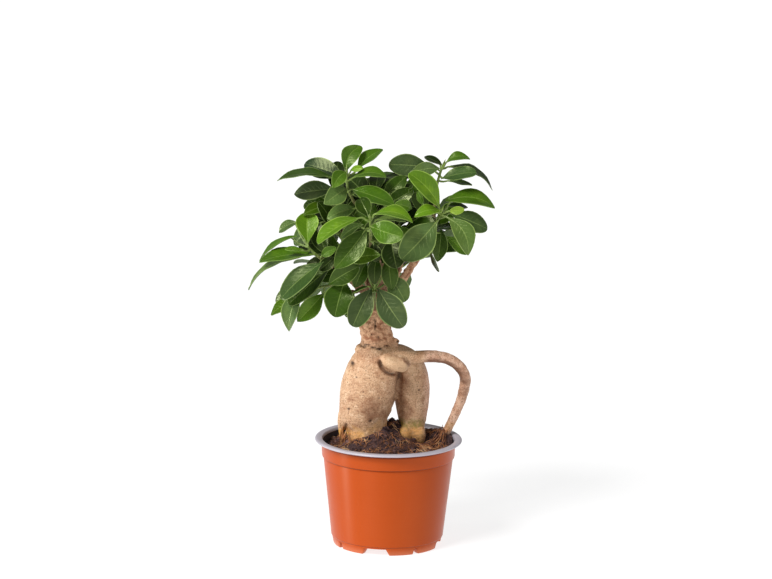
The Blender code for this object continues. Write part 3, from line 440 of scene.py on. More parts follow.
for plastic in (pot_plastic(), lip_plastic(), inner_plastic()):
    pot.data.materials.append(plastic)
LIP, INSIDE = 1, 2                 # places in the pot's list of finishes; the outside is 0
LIP_DEPTH = 2.15                   # how far down the pale lip reaches, millimetres
for face in pot.data.polygons:
    radius, height = math.hypot(face.center.x, face.center.y) / MM, face.center.z / MM
    turned_in = face.normal.x * face.center.x + face.normal.y * face.center.y < 0 or face.normal.z > 0.5
    if height > POT_HEIGHT - LIP_DEPTH and radius > INNER_COLLAR + 0.05:
        face.material_index = LIP
    elif height > POT_FOOT_HEIGHT + 0.6 and turned_in:
        face.material_index = INSIDE
finished(pot, "pot_plastic", "pot")

# %% [markdown]
# ## The swollen root
#
# Root, neck and branches grew as one skin. The plain solid already has its forms, so a copy of it is
# merged, softened by subdivision and covered by a fine even net with a voxel remesh. Onto that net the
# code then presses what makes it bark: pits, level wrinkles, the rough neck, ribs where the legs spread
# into the soil. Pushing points along their normals gives real relief, which shows in the outline too.

# %% Fine skin over the root
wood = frame["nodes"]["root_trunk"]
root = bpy.data.objects.new("swollen_root", wood.data.copy())
bpy.context.scene.collection.objects.link(root)
root.data.materials.clear()
only(root)
bpy.ops.object.mode_set(mode="EDIT")
bpy.ops.mesh.select_all(action="SELECT")
bpy.ops.mesh.remove_doubles(threshold=MERGE)
bpy.ops.mesh.normals_make_consistent(inside=False)
bpy.ops.object.mode_set(mode="OBJECT")
ROOT_NET = 0.75 * MM               # size of the net's squares
apply_modifier(root, "SUBSURF", levels=2, render_levels=2)
apply_modifier(root, "REMESH", mode="VOXEL", voxel_size=ROOT_NET, use_smooth_shade=True)
apply_modifier(root, "SMOOTH", factor=0.5, iterations=5)
print("root net:", len(root.data.vertices), "points")

# %% [markdown]
# Where is what? The neck and the branches are rough pinkish bark, the legs have a pale smooth skin that
# turns yellow at the soil, and the arching root is in between. Pits, scars, grooves and patches were
# read from the picture, in millimetres. They serve the relief first and the colours after.

# %% Where the marks of the skin lie
NECK_BASE = 163.0                  # height at which the bark begins
ARCH_SIDE = 23.0                   # the arching root lies to the right of this
# Pits: x, height, radius, depth
PITS = [(-30.0, 151.4, 1.7, 2.6), (-32.6, 115.2, 1.1, 1.3), (-14.8, 106.2, 1.2, 1.2),
        (-26.7, 142.2, 0.7, 0.8), (6.2, 169.2, 1.1, 1.6), (-8.0, 126.0, 0.6, 0.6),
        (24.0, 128.0, 0.7, 0.7), (-21.0, 131.0, 0.5, 0.5)]
# Ledges and stubs that stand out: x, height, radius, rise
LEDGES = [(-24.6, 163.6, 3.2, 1.6), (-19.5, 163.0, 2.6, 0.9), (-27.2, 161.5, 1.6, 0.9),
          (6.4, 171.0, 2.2, 1.0)]
# Dark scars of the neck: x, height, half width, half height
SCARS = [(-18.0, 167.2, 3.6, 1.1), (-13.2, 165.6, 3.0, 1.0), (-8.8, 164.6, 3.4, 1.2), (-3.0, 166.8, 2.4, 0.8),
         (-12.4, 184.5, 1.0, 6.0), (-21.5, 165.6, 3.0, 0.8), (-15.0, 176.5, 0.7, 1.3),
         (-9.5, 174.5, 0.5, 2.0)]
# Grooves as lines of (x, height): between the legs, round the knob above them, and beside the side root
LEG_CREASE = [(7.6, 145.0), (7.6, 138.0), (7.4, 130.0), (5.4, 119.0), (4.6, 113.0)]
KNOB_CREASE = [(-8.2, 156.4), (-6.9, 151.2), (-3.4, 147.0), (0.4, 144.6), (4.6, 143.4), (9.4, 143.2)]
SIDE_CREASE = [(-34.5, 101.0), (-35.4, 95.0), (-35.6, 88.0)]
# Darker patches, partly stains and partly painted shade, such as down both sides of the right leg:
# middle x and height, half width, half height, strength
STAINS_AND_SHADE = [(-13.5, 115.5, 11.0, 11.0, 0.95), (-4.0, 113.0, 8.0, 10.0, 0.7), (10.2, 128.0, 5.8, 17.0, 1.0),
           (31.0, 120.0, 4.5, 20.0, 0.75), (-31.0, 126.0, 8.0, 12.0, 0.3), (14.0, 146.5, 1.5, 1.8, 0.8),
           (-18.0, 160.0, 9.0, 4.0, 0.45), (16.0, 110.0, 9.0, 7.0, 0.75), (-10.0, 135.0, 12.0, 4.0, 0.25),
           (2.5, 125.0, 4.0, 15.0, 0.65)]
# Painted highlights down the right leg, as pale streaks: middle x and height, half width, half height
RIGHT_LEG_HIGHLIGHTS = [(20.5, 127.0, 4.2, 15.0), (19.5, 146.0, 5.0, 7.0)]
# The knob over the legs: middle x and height, half sizes, turn in radians
KNOB = (3.6, 152.6, 12.2, 8.6, -0.42)

print(len(PITS), "pits,", len(SCARS), "scars,", len(LEDGES), "ledges and", len(STAINS_AND_SHADE), "darker patches")

# %% [markdown]
# These functions answer how much a place belongs to the bark, to the arching root, to a scar, a pit or a
# groove. Each gives a share from 0 to 1 with a soft edge, because hard edges on skin look cut out.

# %% Shares of a place
def hum(place, scale, seed=0.0):
    """Smooth noise between about -1 and 1, with features of roughly 1 / scale millimetres."""
    return noise.noise(place * scale + Vector((seed, seed * 2.3, -seed)))


def bark_share(place):
    arch = smooth(place.x, ARCH_SIDE - 3, ARCH_SIDE + 3) * smooth(place.z, 190, 176)
    return smooth(place.z + 4 * hum(place, 0.12), NECK_BASE, NECK_BASE + 9) * (1 - arch)


def arch_share(place):
    return smooth(place.x, ARCH_SIDE + 2, ARCH_SIDE + 9) * smooth(place.z, 190, 176)


def scar_share(place):
    """How deep inside a dark scar of the neck's front a place is, 0 to 1."""
    deepest = 0.0
    if place.y < 4:
        wander = Vector((1.2 * hum(place, 0.5, 3), 0, 1.0 * hum(place, 0.6, 5)))
        for x, height, half_width, half_height in SCARS:
            across, up = (place.x + wander.x - x) / half_width, (place.z + wander.z - height) / half_height
            deepest = max(deepest, smooth(math.hypot(across, up), 1.15, 0.35))
    return deepest


def pit_share(place):
    deepest = 0.0
    if place.y < 6:
        for x, height, radius, _ in PITS:
            away = math.hypot(place.x - x, place.z - height)
            deepest = max(deepest, smooth(away, radius * 1.5, radius * 0.3))
    return deepest


def from_line(place, line):
    """Distance in millimetres from a place to a line of (x, height), as the front shows them."""
    nearest = 1000.0
    for (ax, az), (bx, bz) in zip(line, line[1:]):
        run = ((place.x - ax) * (bx - ax) + (place.z - az) * (bz - az)) / ((bx - ax) ** 2 + (bz - az) ** 2)
        run = min(1.0, max(0.0, run))
        nearest = min(nearest, math.hypot(place.x - ax - run * (bx - ax), place.z - az - run * (bz - az)))
    return nearest


def groove_share(place):
    """How deep inside one of the grooves of the front a place is, 0 to 1."""
    if place.y > 2:
        return 0.0
    legs = math.exp(-(from_line(place, LEG_CREASE) / 2.0) ** 2)
    knob = math.exp(-(from_line(place, KNOB_CREASE) / 1.0) ** 2) * smooth(place.y, -6, -12)
    return max(legs, knob, 0.8 * math.exp(-(from_line(place, SIDE_CREASE) / 1.2) ** 2))

# %% [markdown]
# The relief adds up waves of several sizes. Wide swells come first, then level wrinkles, then the rough
# bark, and last the pits and scars, which are pressed in by their own depths. Every point then moves
# along its normal.

# %% Relief of the skin
def skin_relief(place):
    """How far the skin stands out at a place, in millimetres."""
    bark, arch = bark_share(place), arch_share(place)
    level = Vector((place.x * 0.35, place.y * 0.35, place.z * 1.9))
    out = 0.35 * hum(place, 0.09) + 0.10 * hum(level, 0.55, 2)
    out += (1 - bark) * (1 - arch) * (0.12 * hum(place, 0.45, 4) + 0.05 * hum(place, 1.3, 6))
    out += bark * (0.7 * hum(place, 0.33, 7) + 0.35 * hum(place, 0.8, 8) + 0.45 * abs(hum(place, 1.1, 9)))
    out += arch * (0.3 * hum(place, 0.25, 10) + 0.16 * hum(place, 0.9, 11))
    ribs = smooth(place.z, 104, 92) * (1 - arch)
    out += ribs * 0.5 * hum(Vector((place.x, place.y, place.z * 0.18)), 0.28, 12)
    out -= 1.3 * scar_share(place) + 1.7 * groove_share(place)
    for x, height, radius, depth in PITS:
        if place.y < 6:
            out -= depth * math.exp(-((place.x - x) ** 2 + (place.z - height) ** 2) / (radius ** 2))
    for x, height, radius, rise in LEDGES:
        if place.y < 6:
            out += rise * math.exp(-((place.x - x) ** 2 + 3.0 * (place.z - height) ** 2) / (radius ** 2))
    return out


normals = [normal.vector.copy() for normal in root.data.vertex_normals]
for vert, normal in zip(root.data.vertices, normals):
    vert.co += normal * skin_relief(vert.co / MM) * MM
print("root height", round(max(vert.co.z for vert in root.data.vertices) / MM, 1), "mm")

# %% [markdown]
# Each point of the skin carries three colours that aren't shown but steer the finish. The first holds
# shares of bark, of the yellow of the toes, and of dark: real scars, and painted shade in pits, grooves
# and on the wood among the leaves. The second holds shares of the arching root, of darker patches, which
# are partly stains and partly painted shade, the arch's underside among them, and of the green band that
# stands just over the toes. The third holds the pale knob and the painted highlight streaks on the right
# leg, the painted shade close round the knob, and the darker edge at the soil. The finish mixes its tans
# and browns by them, and adds freckles and level dashes, the breathing pores of the bark.

# %% Skin shares
SOIL_LINE = 88.0                   # height at which the legs enter the soil
# Painted shade: the wood among the leaves is darkened between these heights
TWIG_FROM, TWIG_FULL = 201, 209    # heights between which the wood darkens among the leaves


def soil_line(place):
    """Height of the soil's edge on the skin, higher between the legs."""
    return SOIL_LINE + 8.0 * math.exp(-((place.x + 3) / 10) ** 2)


def skin_shares(place, _normal):
    """Bark, the yellow of the toes, and dark: real scars, and painted shade in pits, grooves and on the wood
    among the leaves.
    """
    toe = smooth(place.z - soil_line(place) + 5 * hum(place, 0.2, 13), 14, 5)
    toe *= 1 - 0.65 * smooth(place.x, -25, -17) * smooth(place.x, 9, 5)
    # Painted shade of the leaves over the wood among them
    crown_shade = smooth(place.z, TWIG_FROM, TWIG_FULL) * (1 - 0.7 * smooth(place.x, 2, 9))
    # Dark: real scars, with painted shade in pits, in grooves and under the leaves
    dark = max(scar_share(place), pit_share(place), 0.8 * groove_share(place), 0.6 * crown_shade)
    return bark_share(place), toe * (1 - 0.7 * arch_share(place)), dark


def stain_and_shade_shares(place, normal):
    """The arching root; darker patches, partly stains and partly painted shade, with the arch's underside as
    painted shade; and the green band.
    """
    deepest = 0.0
    for x, height, half_width, half_height, strength in STAINS_AND_SHADE:
        across = (place.x + 4.0 * hum(place, 0.14, 15) - x) / half_width
        up = (place.z + 4.0 * hum(place, 0.14, 16) - height) / half_height
        deepest = max(deepest, strength * math.exp(-1.3 * (across * across + up * up)))
    deepest = deepest if place.y < 4 else 0.4 * smooth(hum(place, 0.06, 18), 0.0, 0.4)
    arch = arch_share(place)
    # Painted shade: the arch's downward-facing side is darkened
    under = smooth(-normal.z, -0.1, 0.6) * smooth(place.z, 105, 135)
    level = place.z + 2.6 * hum(place, 0.25, 17) + 1.0 * hum(place, 0.8, 19)
    green = smooth(level, 95, 98) * smooth(level, 105.5, 99.5) * smooth(place.x, 4, 9) * (1 - arch)
    return arch, max(deepest * (1 - arch), arch * under), green


def knob_shares(place, _normal):
    """The pale knob and the painted highlight streaks, the painted shade close round the knob, and the darker
    foot of the skin at the soil.
    """
    x, height, half_width, half_height, turn = KNOB
    across = (place.x - x) * math.cos(turn) + (place.z - height) * math.sin(turn)
    up = (place.z - height) * math.cos(turn) - (place.x - x) * math.sin(turn)
    reach = math.hypot(across / half_width, up / half_height) + 0.05 * hum(place, 0.3, 20)
    front = smooth(place.y, -14, -19)
    knob = smooth(reach, 1.0, 0.82) * front
    # Painted highlight: pale streaks down the right leg
    for x, height, half_width, half_height in RIGHT_LEG_HIGHLIGHTS:
        away = ((place.x - x) / half_width) ** 2 + ((place.z - height) / half_height) ** 2
        knob = max(knob, math.exp(-away) * smooth(place.y, 2, -4))
    below = max(smooth(up / half_height, 0.1, -0.5), smooth(across / half_width, 0.4, 0.9))
    shade = math.exp(-((reach - 1.10) / 0.11) ** 2) * below * smooth(place.y, -4, -9)
    # Darker towards the soil edge
    return knob, shade, smooth(place.z - soil_line(place), 5.0, 0.5)


paint(root, "shares", skin_shares)
paint(root, "tones", stain_and_shade_shares)
paint(root, "knob", knob_shares)
print("painted", [attribute.name for attribute in root.data.color_attributes])

# %% [markdown]
# The finish starts from a broad mix of two tans and lays one layer over another: blotches, stains with
# painted shade, level dashes, freckles and grain, and painted highlight streaks. Bark has a mix of its
# own. Scars, the painted shade of pits, grooves and the wood among the leaves, and the darker soil edge
# come last, since they are dark on any ground.

# %% Skin finish
def root_skin():
    made = Finish("root skin", Roughness=0.62, Specular_IOR_Level=0.35)
    bark, toe, dark = made.split(made.attribute("shares"))[:3]
    arch, patch, green = made.split(made.attribute("tones"))[:3]
    knob, shade, near_soil = made.split(made.attribute("knob"))[:3]
    broad, patches = made.noise(22.0, 3.0), made.noise(60.0, 4.0)
    level = made.noise(1.0, 4.0, 0.6, made.stretched((170.0, 170.0, 900.0)))
    freckles = made.noise(900.0, 3.0, 0.6)
    grain = made.noise(1500.0, 2.0, 0.6)
    rough, flakes = made.noise(420.0, 5.0, 0.65), made.noise(230.0, 4.0, 0.6)
    skin = made.mix(broad, (0.55, 0.30, 0.155), (0.80, 0.53, 0.33))
    skin = made.mix(made.step(patches, 0.50, 0.66, 0.0, 0.6), skin, (0.46, 0.215, 0.105))
    mottle = made.noise(150.0, 4.0, 0.6)
    skin = made.mix(made.step(mottle, 0.48, 0.36, 0.0, 0.45), skin, (0.40, 0.18, 0.085))
    skin = made.mix(made.step(mottle, 0.54, 0.66, 0.0, 0.5), skin, (0.90, 0.64, 0.42))
    # Stains with painted shade: the darker patches, the arch's underside among them
    stain_and_shade = made.maths("MULTIPLY", patch, made.step(mottle, 0.32, 0.6, 1.0, 0.45))
    skin = made.mix(stain_and_shade, skin, (0.19, 0.068, 0.030))
    skin = made.mix(made.step(level, 0.54, 0.66, 0.0, 0.6), skin, (0.38, 0.19, 0.09))
    pinkish = made.mix(made.step(mottle, 0.30, 0.75), (0.60, 0.32, 0.20), (0.90, 0.59, 0.42))
    # Painted shade on the arch's underside, together with its stains
    pinkish = made.mix(made.maths("MULTIPLY", patch, 0.85), pinkish, (0.17, 0.070, 0.036))
    skin = made.mix(arch, skin, pinkish)
    skin = made.mix(made.step(freckles, 0.55, 0.66, 0.0, 0.85), skin, (0.22, 0.10, 0.045))
    flecks = made.maths("MULTIPLY", made.step(freckles, 0.44, 0.34), made.step(patch, 0.0, 1.0, 0.4, 0.05))
    skin = made.mix(flecks, skin, (0.98, 0.76, 0.54))
    skin = made.mix(made.step(grain, 0.54, 0.68, 0.0, 0.55), skin, (0.30, 0.14, 0.065))
    pale = made.mix(patches, (0.55, 0.34, 0.17), (0.76, 0.52, 0.32))
    # The pale knob, with the painted highlight streaks of the right leg
    skin = made.mix(made.maths("MULTIPLY", knob, 0.5), skin, pale)
    skin = made.mix(made.maths("MULTIPLY", shade, 0.75), skin, (0.16, 0.065, 0.028))
    toes = made.mix(patches, (0.88, 0.50, 0.055), (0.78, 0.32, 0.040))
    toes = made.mix(made.step(level, 0.5, 0.62, 0.0, 0.6), toes, (0.38, 0.23, 0.06))
    toes = made.mix(made.step(rough, 0.52, 0.66, 0.0, 0.6), toes, (0.30, 0.15, 0.05))
    skin = made.mix(made.maths("MULTIPLY", toe, made.step(patches, 0.35, 0.6, 0.95, 0.45)), skin, toes)
    mossy = made.maths("MULTIPLY", green, made.step(rough, 0.35, 0.6, 0.25, 0.85))
    skin = made.mix(mossy, skin, (0.24, 0.20, 0.05))
    coarse = made.mix(made.step(flakes, 0.36, 0.60), (0.42, 0.17, 0.08), (0.86, 0.50, 0.29))
    coarse = made.mix(made.step(rough, 0.44, 0.34, 0.0, 0.5), coarse, (0.28, 0.11, 0.055))
    coarse = made.mix(made.step(level, 0.55, 0.66, 0.0, 0.5), coarse, (0.24, 0.105, 0.06))
    coarse = made.mix(made.step(patches, 0.50, 0.66, 0.0, 0.6), coarse, (0.54, 0.215, 0.12))
    coarse = made.mix(made.step(grain, 0.56, 0.68, 0.0, 0.4), coarse, (0.20, 0.09, 0.05))
    colour = made.mix(bark, skin, coarse)
    # Painted shade in pits, grooves and among the leaves, with the real scars
    colour = made.mix(made.maths("MULTIPLY", dark, 0.94), colour, (0.040, 0.017, 0.009))
    # The skin darkens at the soil edge
    soil_darkening = made.maths("MULTIPLY", near_soil, made.step(rough, 0.3, 0.6, 0.85, 0.1))
    colour = made.mix(soil_darkening, colour, (0.07, 0.034, 0.022))
    made.wire("Base Color", colour)
    made.wire("Roughness", made.step(rough, 0.3, 0.7, 0.50, 0.72))
    height = made.maths("ADD", made.maths("MULTIPLY", rough, made.step(bark, 0.0, 1.0, 0.5, 1.6)),
                        made.maths("MULTIPLY", freckles, 0.5))
    height = made.maths("SUBTRACT", height, made.maths("MULTIPLY", level, 0.6))
    made.bump(height, 0.0007)
    return made.material


root.data.materials.append(root_skin())
finished(root, "bark", "root_trunk")

# %% [markdown]
# ## Soil
#
# Peat is dark crumbs held together by pale fibres. The body of the soil is a turned block, whose many
# top rings are then drawn to the heaps and hollows that the pot shows, with clumps from three sizes of
# noise. The legs simply stand in it.

# %% Soil body
SOIL_LEVEL = 80.5
# Middle x and y, height and spread of each heap or hollow
SOIL_HEAPS = [(4, 10, 19.0, 12), (-5, -13, 12.5, 9), (-24, -18, 8.5, 11), (28, 28, 5.0, 12), (46, 16, 9.0, 9),
              (2, -42, 3.0, 16), (-48, 4, -4.0, 11), (20, -18, 3.5, 9)]
SOIL_STEPS, SOIL_RINGS = 150, 48
SOIL_EDGE = INNER_COLLAR - 0.4
SOIL_FLOOR = POT_FOOT_HEIGHT + POT_WALL + 0.4


def soil_height(x, y, clumps=1.0):
    """Height of the soil in millimetres at a place in the pot."""
    height = SOIL_LEVEL + 1.1 * noise.noise(Vector((x, y, 0.0)) * 0.16)
    for middle_x, middle_y, rise, spread in SOIL_HEAPS:
        height += rise * math.exp(-((x - middle_x) ** 2 + (y - middle_y) ** 2) / (2 * spread ** 2))
    place = Vector((x, y, 7.0))
    rough = 1.1 * noise.noise(place * 0.28) + 0.75 * noise.noise(place * 0.62)
    rough += 0.4 * noise.noise(place * 1.3)
    return height + clumps * rough


soil_stations = [(4.0, SOIL_FLOOR), (BASE_RADIUS - POT_WALL - 3.0, SOIL_FLOOR),
                 (BASE_RADIUS - POT_WALL - 0.5, SOIL_FLOOR + 2.5),
                 (SHOULDER_RADIUS - POT_WALL - 0.5, COLLAR_BOTTOM - 1.5)]
soil_stations += [(SOIL_EDGE * (1 - ring / SOIL_RINGS), SOIL_LEVEL) for ring in range(SOIL_RINGS)]
soil = lathe("peat_soil", soil_stations, SOIL_STEPS)
for vert in soil.data.vertices:
    if vert.co.z > (COLLAR_BOTTOM + 2) * MM:
        vert.co.z = soil_height(vert.co.x / MM, vert.co.y / MM) * MM
only(soil)
bpy.ops.object.shade_smooth()

# %% [markdown]
# Peat is nearly black in its hollows and brown on its crumbs. A tone stored on the mesh picks between
# the two browns, and fine noise breaks both up.

# %% Peat finish
def peat(name, darker, paler):
    """Peat between two browns, picked by a tone that each crumb or place carries."""
    made = Finish(name, Roughness=0.9, Specular_IOR_Level=0.25)
    tone = made.attribute("tone", "Fac")
    fine = made.noise(700.0, 5.0, 0.7)
    colour = made.mix(tone, darker, paler)
    colour = made.mix(made.step(fine, 0.52, 0.68, 0.0, 0.6), colour, (0.17, 0.085, 0.05))
    colour = made.mix(made.step(fine, 0.46, 0.36, 0.0, 0.7), colour, (0.012, 0.008, 0.009))
    made.wire("Base Color", colour)
    made.bump(fine, 0.0006)
    return made.material


def set_tone(piece, tone_at):
    """Stores a tone from 0 to 1 for every point, by its place in millimetres."""
    layer = piece.data.attributes.new("tone", "FLOAT", "POINT")
    for vert in piece.data.vertices:
        layer.data[vert.index].value = tone_at(vert.co / MM)


set_tone(soil, lambda place: 0.5 + 0.5 * noise.noise(place * 0.22))
soil.data.materials.append(peat("peat", (0.028, 0.015, 0.018), (0.105, 0.058, 0.056)))
finished(soil, "peat_soil", "soil")

# %% [markdown]
# Loose crumbs give the soil its broken outline. One lump is modelled: a ball of few faces whose points
# are pushed in and out. It is then copied hundreds of times, each copy stretched, turned and sunk by a
# seeded draw, and all are joined into one piece. Places inside the root are skipped: a place is inside
# when the nearest skin faces away from it.

# %% Crumbs
CRUMBS = 1000
CRUMB_SIZE = (0.7, 2.3)            # radius in millimetres, small ones are more common


def skin_tree(thing):
    """The triangles of a CAD solid, for nearest-point and crossing tests."""
    mesh = thing.data
    return BVHTree.FromPolygons([vert.co for vert in mesh.vertices],
                                [tuple(face.vertices) for face in mesh.polygons])


wood_tree = skin_tree(wood)


def in_wood(place, margin=0.0):
    """Whether a place, in metres, is inside the root or nearer to its skin than margin."""
    spot, outward, _, away = wood_tree.find_nearest(place)
    return (place - spot).dot(outward) < 0 or away < margin


bpy.ops.object.select_all(action="DESELECT")
bpy.ops.mesh.primitive_ico_sphere_add(subdivisions=2, radius=1.0)
crumb = bpy.context.active_object
bpy.ops.object.mode_set(mode="EDIT")
bpy.ops.mesh.select_all(action="SELECT")
bpy.ops.transform.resize(value=(1.0, 0.8, 0.7))
bpy.ops.transform.vertex_random(offset=0.22, normal=1.0, seed=3)
bpy.ops.object.mode_set(mode="OBJECT")
lump_points = [vert.co.copy() for vert in crumb.data.vertices]
lump_faces = [tuple(face.vertices) for face in crumb.data.polygons]
bpy.data.objects.remove(crumb)

draw = random.Random("crumbs")
points, faces, tones = [], [], []
while len(faces) < CRUMBS * len(lump_faces):
    turn, reach = draw.uniform(0, 2 * math.pi), SOIL_EDGE * math.sqrt(draw.random())
    size = CRUMB_SIZE[0] + (CRUMB_SIZE[1] - CRUMB_SIZE[0]) * draw.random() ** 2.6
    reach = min(reach, SOIL_EDGE - size)
    x, y = reach * math.cos(turn), reach * math.sin(turn)
    place = Vector((x, y, soil_height(x, y) + size * draw.uniform(-0.3, 0.35))) * MM
    if in_wood(place):
        continue
    spin = Matrix.Rotation(draw.uniform(0, 6.3), 3, "Z") @ Matrix.Rotation(draw.uniform(0, 6.3), 3, "X")
    first = len(points)
    points += [place + spin @ point * size * MM for point in lump_points]
    faces += [tuple(first + corner for corner in face) for face in lump_faces]
    tones += [draw.random() ** 1.5] * len(lump_points)


def mesh_piece(name, points, faces):
    """A new object from points and faces."""
    mesh = bpy.data.meshes.new(name)
    mesh.from_pydata(points, [], faces)
    piece = bpy.data.objects.new(name, mesh)
    bpy.context.scene.collection.objects.link(piece)
    return piece


crumbs = mesh_piece("soil_crumbs", points, faces)
layer = crumbs.data.attributes.new("tone", "FLOAT", "POINT")
for value, tone in zip(layer.data, tones):
    value.value = tone
crumbs.data.materials.append(peat("peat crumbs", (0.022, 0.012, 0.015), (0.20, 0.11, 0.10)))
print(CRUMBS, "crumbs of", len(lump_faces), "faces")
finished(crumbs, "peat_soil")

# %% [markdown]
# Fibres are thin bars along short wandering lines. A curve object with a round bevel makes all of them
# at once: each line is one spline, and turning the curve into a mesh keeps them as one piece.

# %% Bars along lines
def bars(name, lines, sides):
    """Round tapering bars as one mesh piece; each line is a list of (point, radius), in metres."""
    curve = bpy.data.curves.new(name, "CURVE")
    curve.dimensions = "3D"
    curve.bevel_depth = 1.0
    curve.bevel_resolution = (sides - 4) // 2
    curve.use_fill_caps = True
    for line in lines:
        spline = curve.splines.new("POLY")
        spline.points.add(len(line) - 1)
        for spot, (point, radius) in zip(spline.points, line):
            spot.co = (*point, 1.0)
            spot.radius = radius
    piece = bpy.data.objects.new(name, curve)
    bpy.context.scene.collection.objects.link(piece)
    only(piece)
    bpy.ops.object.convert(target="MESH")
    bpy.ops.object.mode_set(mode="EDIT")
    bpy.ops.mesh.select_all(action="SELECT")
    bpy.ops.mesh.remove_doubles(threshold=MERGE / 2)
    bpy.ops.mesh.normals_make_consistent(inside=False)
    bpy.ops.object.mode_set(mode="OBJECT")
    return piece


def smooth_route(points, per_span, leaving=None):
    """Points of a smooth curve through the given vectors, ends included. leaving is its first direction."""
    runs = [(after - before).normalized() for before, after in zip(points, points[2:])]
    runs = [leaving or (points[1] - points[0]).normalized()] + runs + [(points[-1] - points[-2]).normalized()]
    route = [points[0]]
    for a, b, run_a, run_b in zip(points, points[1:], runs, runs[1:]):
        handle = (b - a).length / 3
        route += geometry.interpolate_bezier(a, a + run_a * handle, b - run_b * handle, b, per_span + 1)[1:]
    return route


def on_soil(x, y, lift=0.4):
    """The point that lies lift millimetres over the soil."""
    return Vector((x, y, soil_height(x, y) + lift)) * MM

# %% [markdown]
# The fibres lie anywhere on the soil, rise a little off it in the middle and wander as they go. A seeded
# draw places them, and a fibre that would pass through the root or the pot is dropped.

# %% Fibres in the peat
FIBRES = 700
FIBRE_RADIUS = (0.10, 0.26)
FIBRE_STEP = 1.5

draw = random.Random("fibres")
lines = []
while len(lines) < FIBRES:
    turn, reach = draw.uniform(0, 2 * math.pi), (SOIL_EDGE - 1.5) * math.sqrt(draw.random())
    x, y = reach * math.cos(turn), reach * math.sin(turn)
    heading, bend = draw.uniform(0, 2 * math.pi), draw.uniform(-0.45, 0.45)
    thick = draw.uniform(*FIBRE_RADIUS) * MM
    count = draw.randint(4, 9)
    line = []
    for number in range(count):
        hop = 0.5 + draw.uniform(0.6, 2.2) * math.sin(math.pi * number / (count - 1))
        line.append((on_soil(x, y, hop), thick * (1 - 0.6 * number / count)))
        x, y = x + FIBRE_STEP * math.cos(heading), y + FIBRE_STEP * math.sin(heading)
        heading += bend + draw.uniform(-0.3, 0.3)
    if not any(in_wood(point) or math.hypot(point.x, point.y) > SOIL_EDGE * MM for point, _ in line):
        lines.append(line)
fibres = bars("soil_fibres", lines, 4)


def fibre_skin():
    made = Finish("root fibre", Roughness=0.7, Specular_IOR_Level=0.3)
    tone = made.noise(90.0, 2.0)
    colour = made.mix(made.step(tone, 0.35, 0.6), (0.13, 0.050, 0.028), (0.60, 0.25, 0.095))
    colour = made.mix(made.step(tone, 0.54, 0.66), colour, (0.78, 0.48, 0.25))
    made.wire("Base Color", colour)
    made.bump(made.noise(900.0), 0.0002)
    return made.material


fibre_finish = fibre_skin()
fibres.data.materials.append(fibre_finish)
finished(fibres, "peat_soil")

# %% [markdown]
# Fine roots leave the arching root's foot and run over the soil towards the right leg, and a tuft of
# straw-coloured ones hangs in the hollow at the far left. They follow a few listed places, with
# seeded wander between them.

# %% Rootlets
ARCH_FOOT = (45.0, 12.0)
ROOTLET_RADIUS = (0.22, 0.48)
ROOTLET_LIFTS = (4.5, 2.4, 1.6, 0.0)    # over the soil, at its start, on its way and at its end
ROOTLET_ENDS = [(22, -8), (26, -14), (18, -16), (30, -20), (34, -4), (28, 2), (36, -14), (46, -6), (40, 24),
                (50, 20), (24, -2), (44, -16), (33, -26), (38, 6), (14, -26), (20, -22), (27, -9), (31, -15)]
LEFT_TUFT = [
    ((-36.5, -4, 103), (-38, -9, 92), (-37, -12, 80)), ((-33, -7, 100), (-35, -11, 93), (-38.5, -14, 86)),
    ((-38.5, -5, 98), (-39.5, -8, 88), (-40, -11, 79)), ((-31.5, -10, 95), (-33, -13, 88), (-33.5, -15, 80)),
    ((-35, -8, 92), (-35.5, -12, 86), (-35, -16, 79)), ((-37.5, -8, 95), (-36.5, -11, 86), (-38.5, -16, 79))]

draw = random.Random("rootlets")
lines = []
for end_x, end_y in ROOTLET_ENDS:
    start = Vector((ARCH_FOOT[0] + draw.uniform(-5, 4), ARCH_FOOT[1] + draw.uniform(-7, 3)))
    end = Vector((end_x + draw.uniform(-3, 3), end_y + draw.uniform(-3, 3)))
    side = Vector((-(end - start).y, (end - start).x)) * draw.uniform(-0.22, 0.22)
    stops = [start, start.lerp(end, 0.35) + side, start.lerp(end, 0.7) + side * 0.6, end]
    route = smooth_route([on_soil(*stop, lift) for stop, lift in zip(stops, ROOTLET_LIFTS)], 4)
    thick = draw.uniform(*ROOTLET_RADIUS) * MM
    lines.append([(point, thick * (1 - 0.65 * i / len(route))) for i, point in enumerate(route)])
for stops in LEFT_TUFT:
    for _ in range(2):
        wander = Vector((draw.uniform(-1, 1), draw.uniform(-1, 1), 0))
        route = smooth_route([(Vector(stop) + wander * i * 0.8) * MM for i, stop in enumerate(stops)], 5)
        lines.append([(point, draw.uniform(0.22, 0.36) * MM) for point in route])
rootlets = bars("rootlets", lines, 6)
only(rootlets)
bpy.ops.object.shade_smooth()
rootlets.data.materials.append(fibre_finish)
finished(rootlets, "bark")
